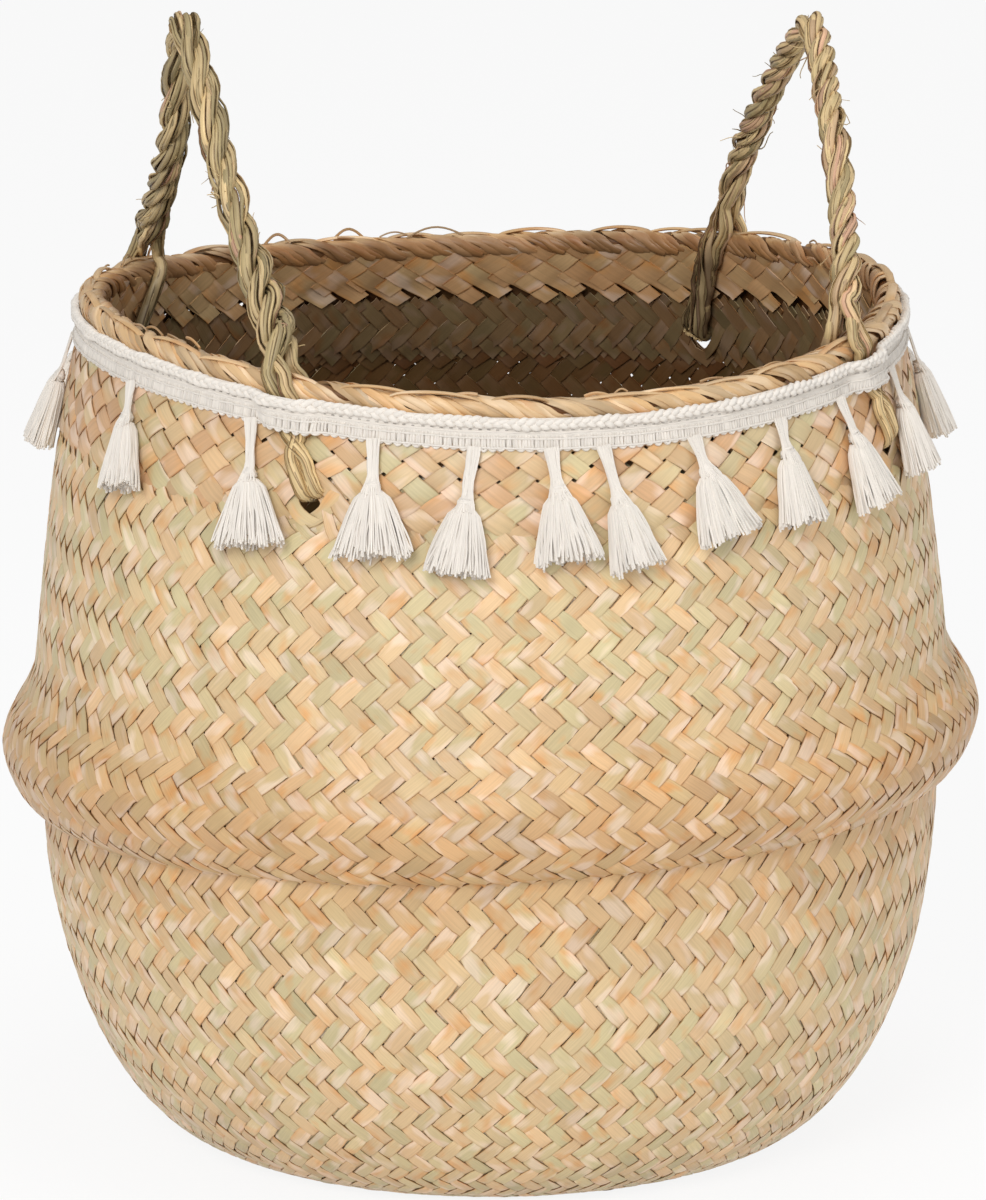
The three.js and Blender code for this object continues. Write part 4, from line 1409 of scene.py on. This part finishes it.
def make_floor():
    bm = bmesh.new()
    bmesh.ops.create_grid(bm, x_segments=1, y_segments=1, size=6)
    mesh = mesh_of(bm, "floor")
    floor = bpy.data.objects.new("floor", mesh)
    bpy.context.scene.collection.objects.link(floor)
    material = bpy.data.materials.new("floor")
    material.use_nodes = True
    tree = material.node_tree
    shader = tree.nodes["Principled BSDF"]
    shader.inputs["Base Color"].default_value = (0.9, 0.9, 0.9, 1)
    shader.inputs["Roughness"].default_value = 0.9
    glow = add_node(tree, "ShaderNodeEmission")
    path = add_node(tree, "ShaderNodeLightPath")
    seen = calculate(tree, "MAXIMUM", path.outputs["Is Camera Ray"], path.outputs["Is Glossy Ray"])
    mix = add_node(tree, "ShaderNodeMixShader")
    glowing = calculate(tree, "MULTIPLY", seen, FLOOR_GLOW)
    for socket, value in zip(mix.inputs, (glowing, shader.outputs[0], glow.outputs[0])):
        plug(tree, socket, value)
    plug(tree, tree.nodes["Material Output"].inputs[0], mix.outputs[0])
    mesh.materials.append(material)


def make_light(stage):
    scene = bpy.context.scene
    scene.view_settings.view_transform = "Standard"
    world = bpy.data.worlds.new("studio")
    scene.world = world
    world.use_nodes = True
    tree = world.node_tree
    background = tree.nodes["Background"]
    background.inputs["Color"].default_value = (1, 1, 1, 1)
    path = add_node(tree, "ShaderNodeLightPath")
    plain = WORLD_LIGHT * stage.light
    plug(tree, background.inputs["Strength"],
         calculate(tree, "MULTIPLY_ADD", path.outputs["Is Camera Ray"], 1 - plain, plain))
    for name, place, size, power in LAMPS:
        area_lamp(name, place, size, power * stage.light)


# Operators, one for each piece or group of like pieces


class BASKET_OT_body(bpy.types.Operator):
    """Weave the body, from the bowl up to the hem"""

    bl_idname = "basket.body"
    bl_label = "Woven body"

    def execute(self, context):
        make_body(context.scene.basket_weave, context.scene.basket_rim)
        return {"FINISHED"}


class BASKET_OT_base(bpy.types.Operator):
    """Weave the flat mat of the base"""

    bl_idname = "basket.base"
    bl_label = "Base mat"

    def execute(self, context):
        make_base(context.scene.basket_weave)
        return {"FINISHED"}


class BASKET_OT_border(bpy.types.Operator):
    """Plait the border of the rim"""

    bl_idname = "basket.border"
    bl_label = "Rim border"

    def execute(self, context):
        make_border(context.scene.basket_rim)
        return {"FINISHED"}


class BASKET_OT_trim(bpy.types.Operator):
    """Sew the cotton trim on below the border"""

    bl_idname = "basket.trim"
    bl_label = "Cotton trim"

    def execute(self, context):
        make_trim(context.scene.basket_trim)
        return {"FINISHED"}


class BASKET_OT_tassels(bpy.types.Operator):
    """Hang a tassel on each of their joints"""

    bl_idname = "basket.tassels"
    bl_label = "Tassels"

    def execute(self, context):
        trim = context.scene.basket_trim
        cotton = cotton_finish("tassel_cotton", trim.cotton, 3, 1.5)
        hung = [joint for joint in frame["joints"] if joint["child"].startswith("tassel")]
        for number, joint in enumerate(hung):
            make_tassel(joint, number, trim, cotton)
        return {"FINISHED"}


class BASKET_OT_handles(bpy.types.Operator):
    """Twist the rope handles and their tails"""

    bl_idname = "basket.handles"
    bl_label = "Rope handles"

    def execute(self, context):
        rope = context.scene.basket_rope
        grass = rope_finish("rope", rope.green, rope.straw, rope.rose)
        for side in HANDLES:
            make_rope(side, rope, grass)
        return {"FINISHED"}


class BASKET_OT_stage(bpy.types.Operator):
    """Set up the camera, the floor and the lamps"""

    bl_idname = "basket.stage"
    bl_label = "Stage"

    def execute(self, context):
        stage = context.scene.basket_stage
        make_camera(stage)
        make_floor()
        make_light(stage)
        return {"FINISHED"}


class BASKET_PT_panel(bpy.types.Panel):
    """Basket"""

    bl_label = "Belly Basket"
    bl_idname = "BASKET_PT_panel"
    bl_space_type = "VIEW_3D"
    bl_region_type = "UI"
    bl_category = "Basket"

    def draw(self, context):
        for name, group in SETTINGS.items():
            for key in group.__annotations__:
                self.layout.prop(getattr(context.scene, name), key)
        for operator in OPERATORS:
            self.layout.operator(operator.bl_idname)


SETTINGS = {
    "basket_weave": WeaveSettings,
    "basket_rim": RimSettings,
    "basket_trim": TrimSettings,
    "basket_rope": RopeSettings,
    "basket_stage": StageSettings,
}
OPERATORS = (
    BASKET_OT_stage, BASKET_OT_body, BASKET_OT_base, BASKET_OT_border, BASKET_OT_trim, BASKET_OT_tassels,
    BASKET_OT_handles,
)


def register():
    for name, group in SETTINGS.items():
        bpy.utils.register_class(group)
        setattr(bpy.types.Scene, name, bpy.props.PointerProperty(type=group))
    for operator in OPERATORS:
        bpy.utils.register_class(operator)
    bpy.utils.register_class(BASKET_PT_panel)


def unregister():
    bpy.utils.unregister_class(BASKET_PT_panel)
    for operator in OPERATORS:
        bpy.utils.unregister_class(operator)
    for name, group in SETTINGS.items():
        delattr(bpy.types.Scene, name)
        bpy.utils.unregister_class(group)


def main():
    register()
    fibre_group()
    bpy.ops.basket.stage()
    bpy.ops.basket.body()
    bpy.ops.basket.base()
    bpy.ops.basket.border()
    bpy.ops.basket.trim()
    bpy.ops.basket.tassels()
    bpy.ops.basket.handles()


if __name__ == "__main__":
    main()
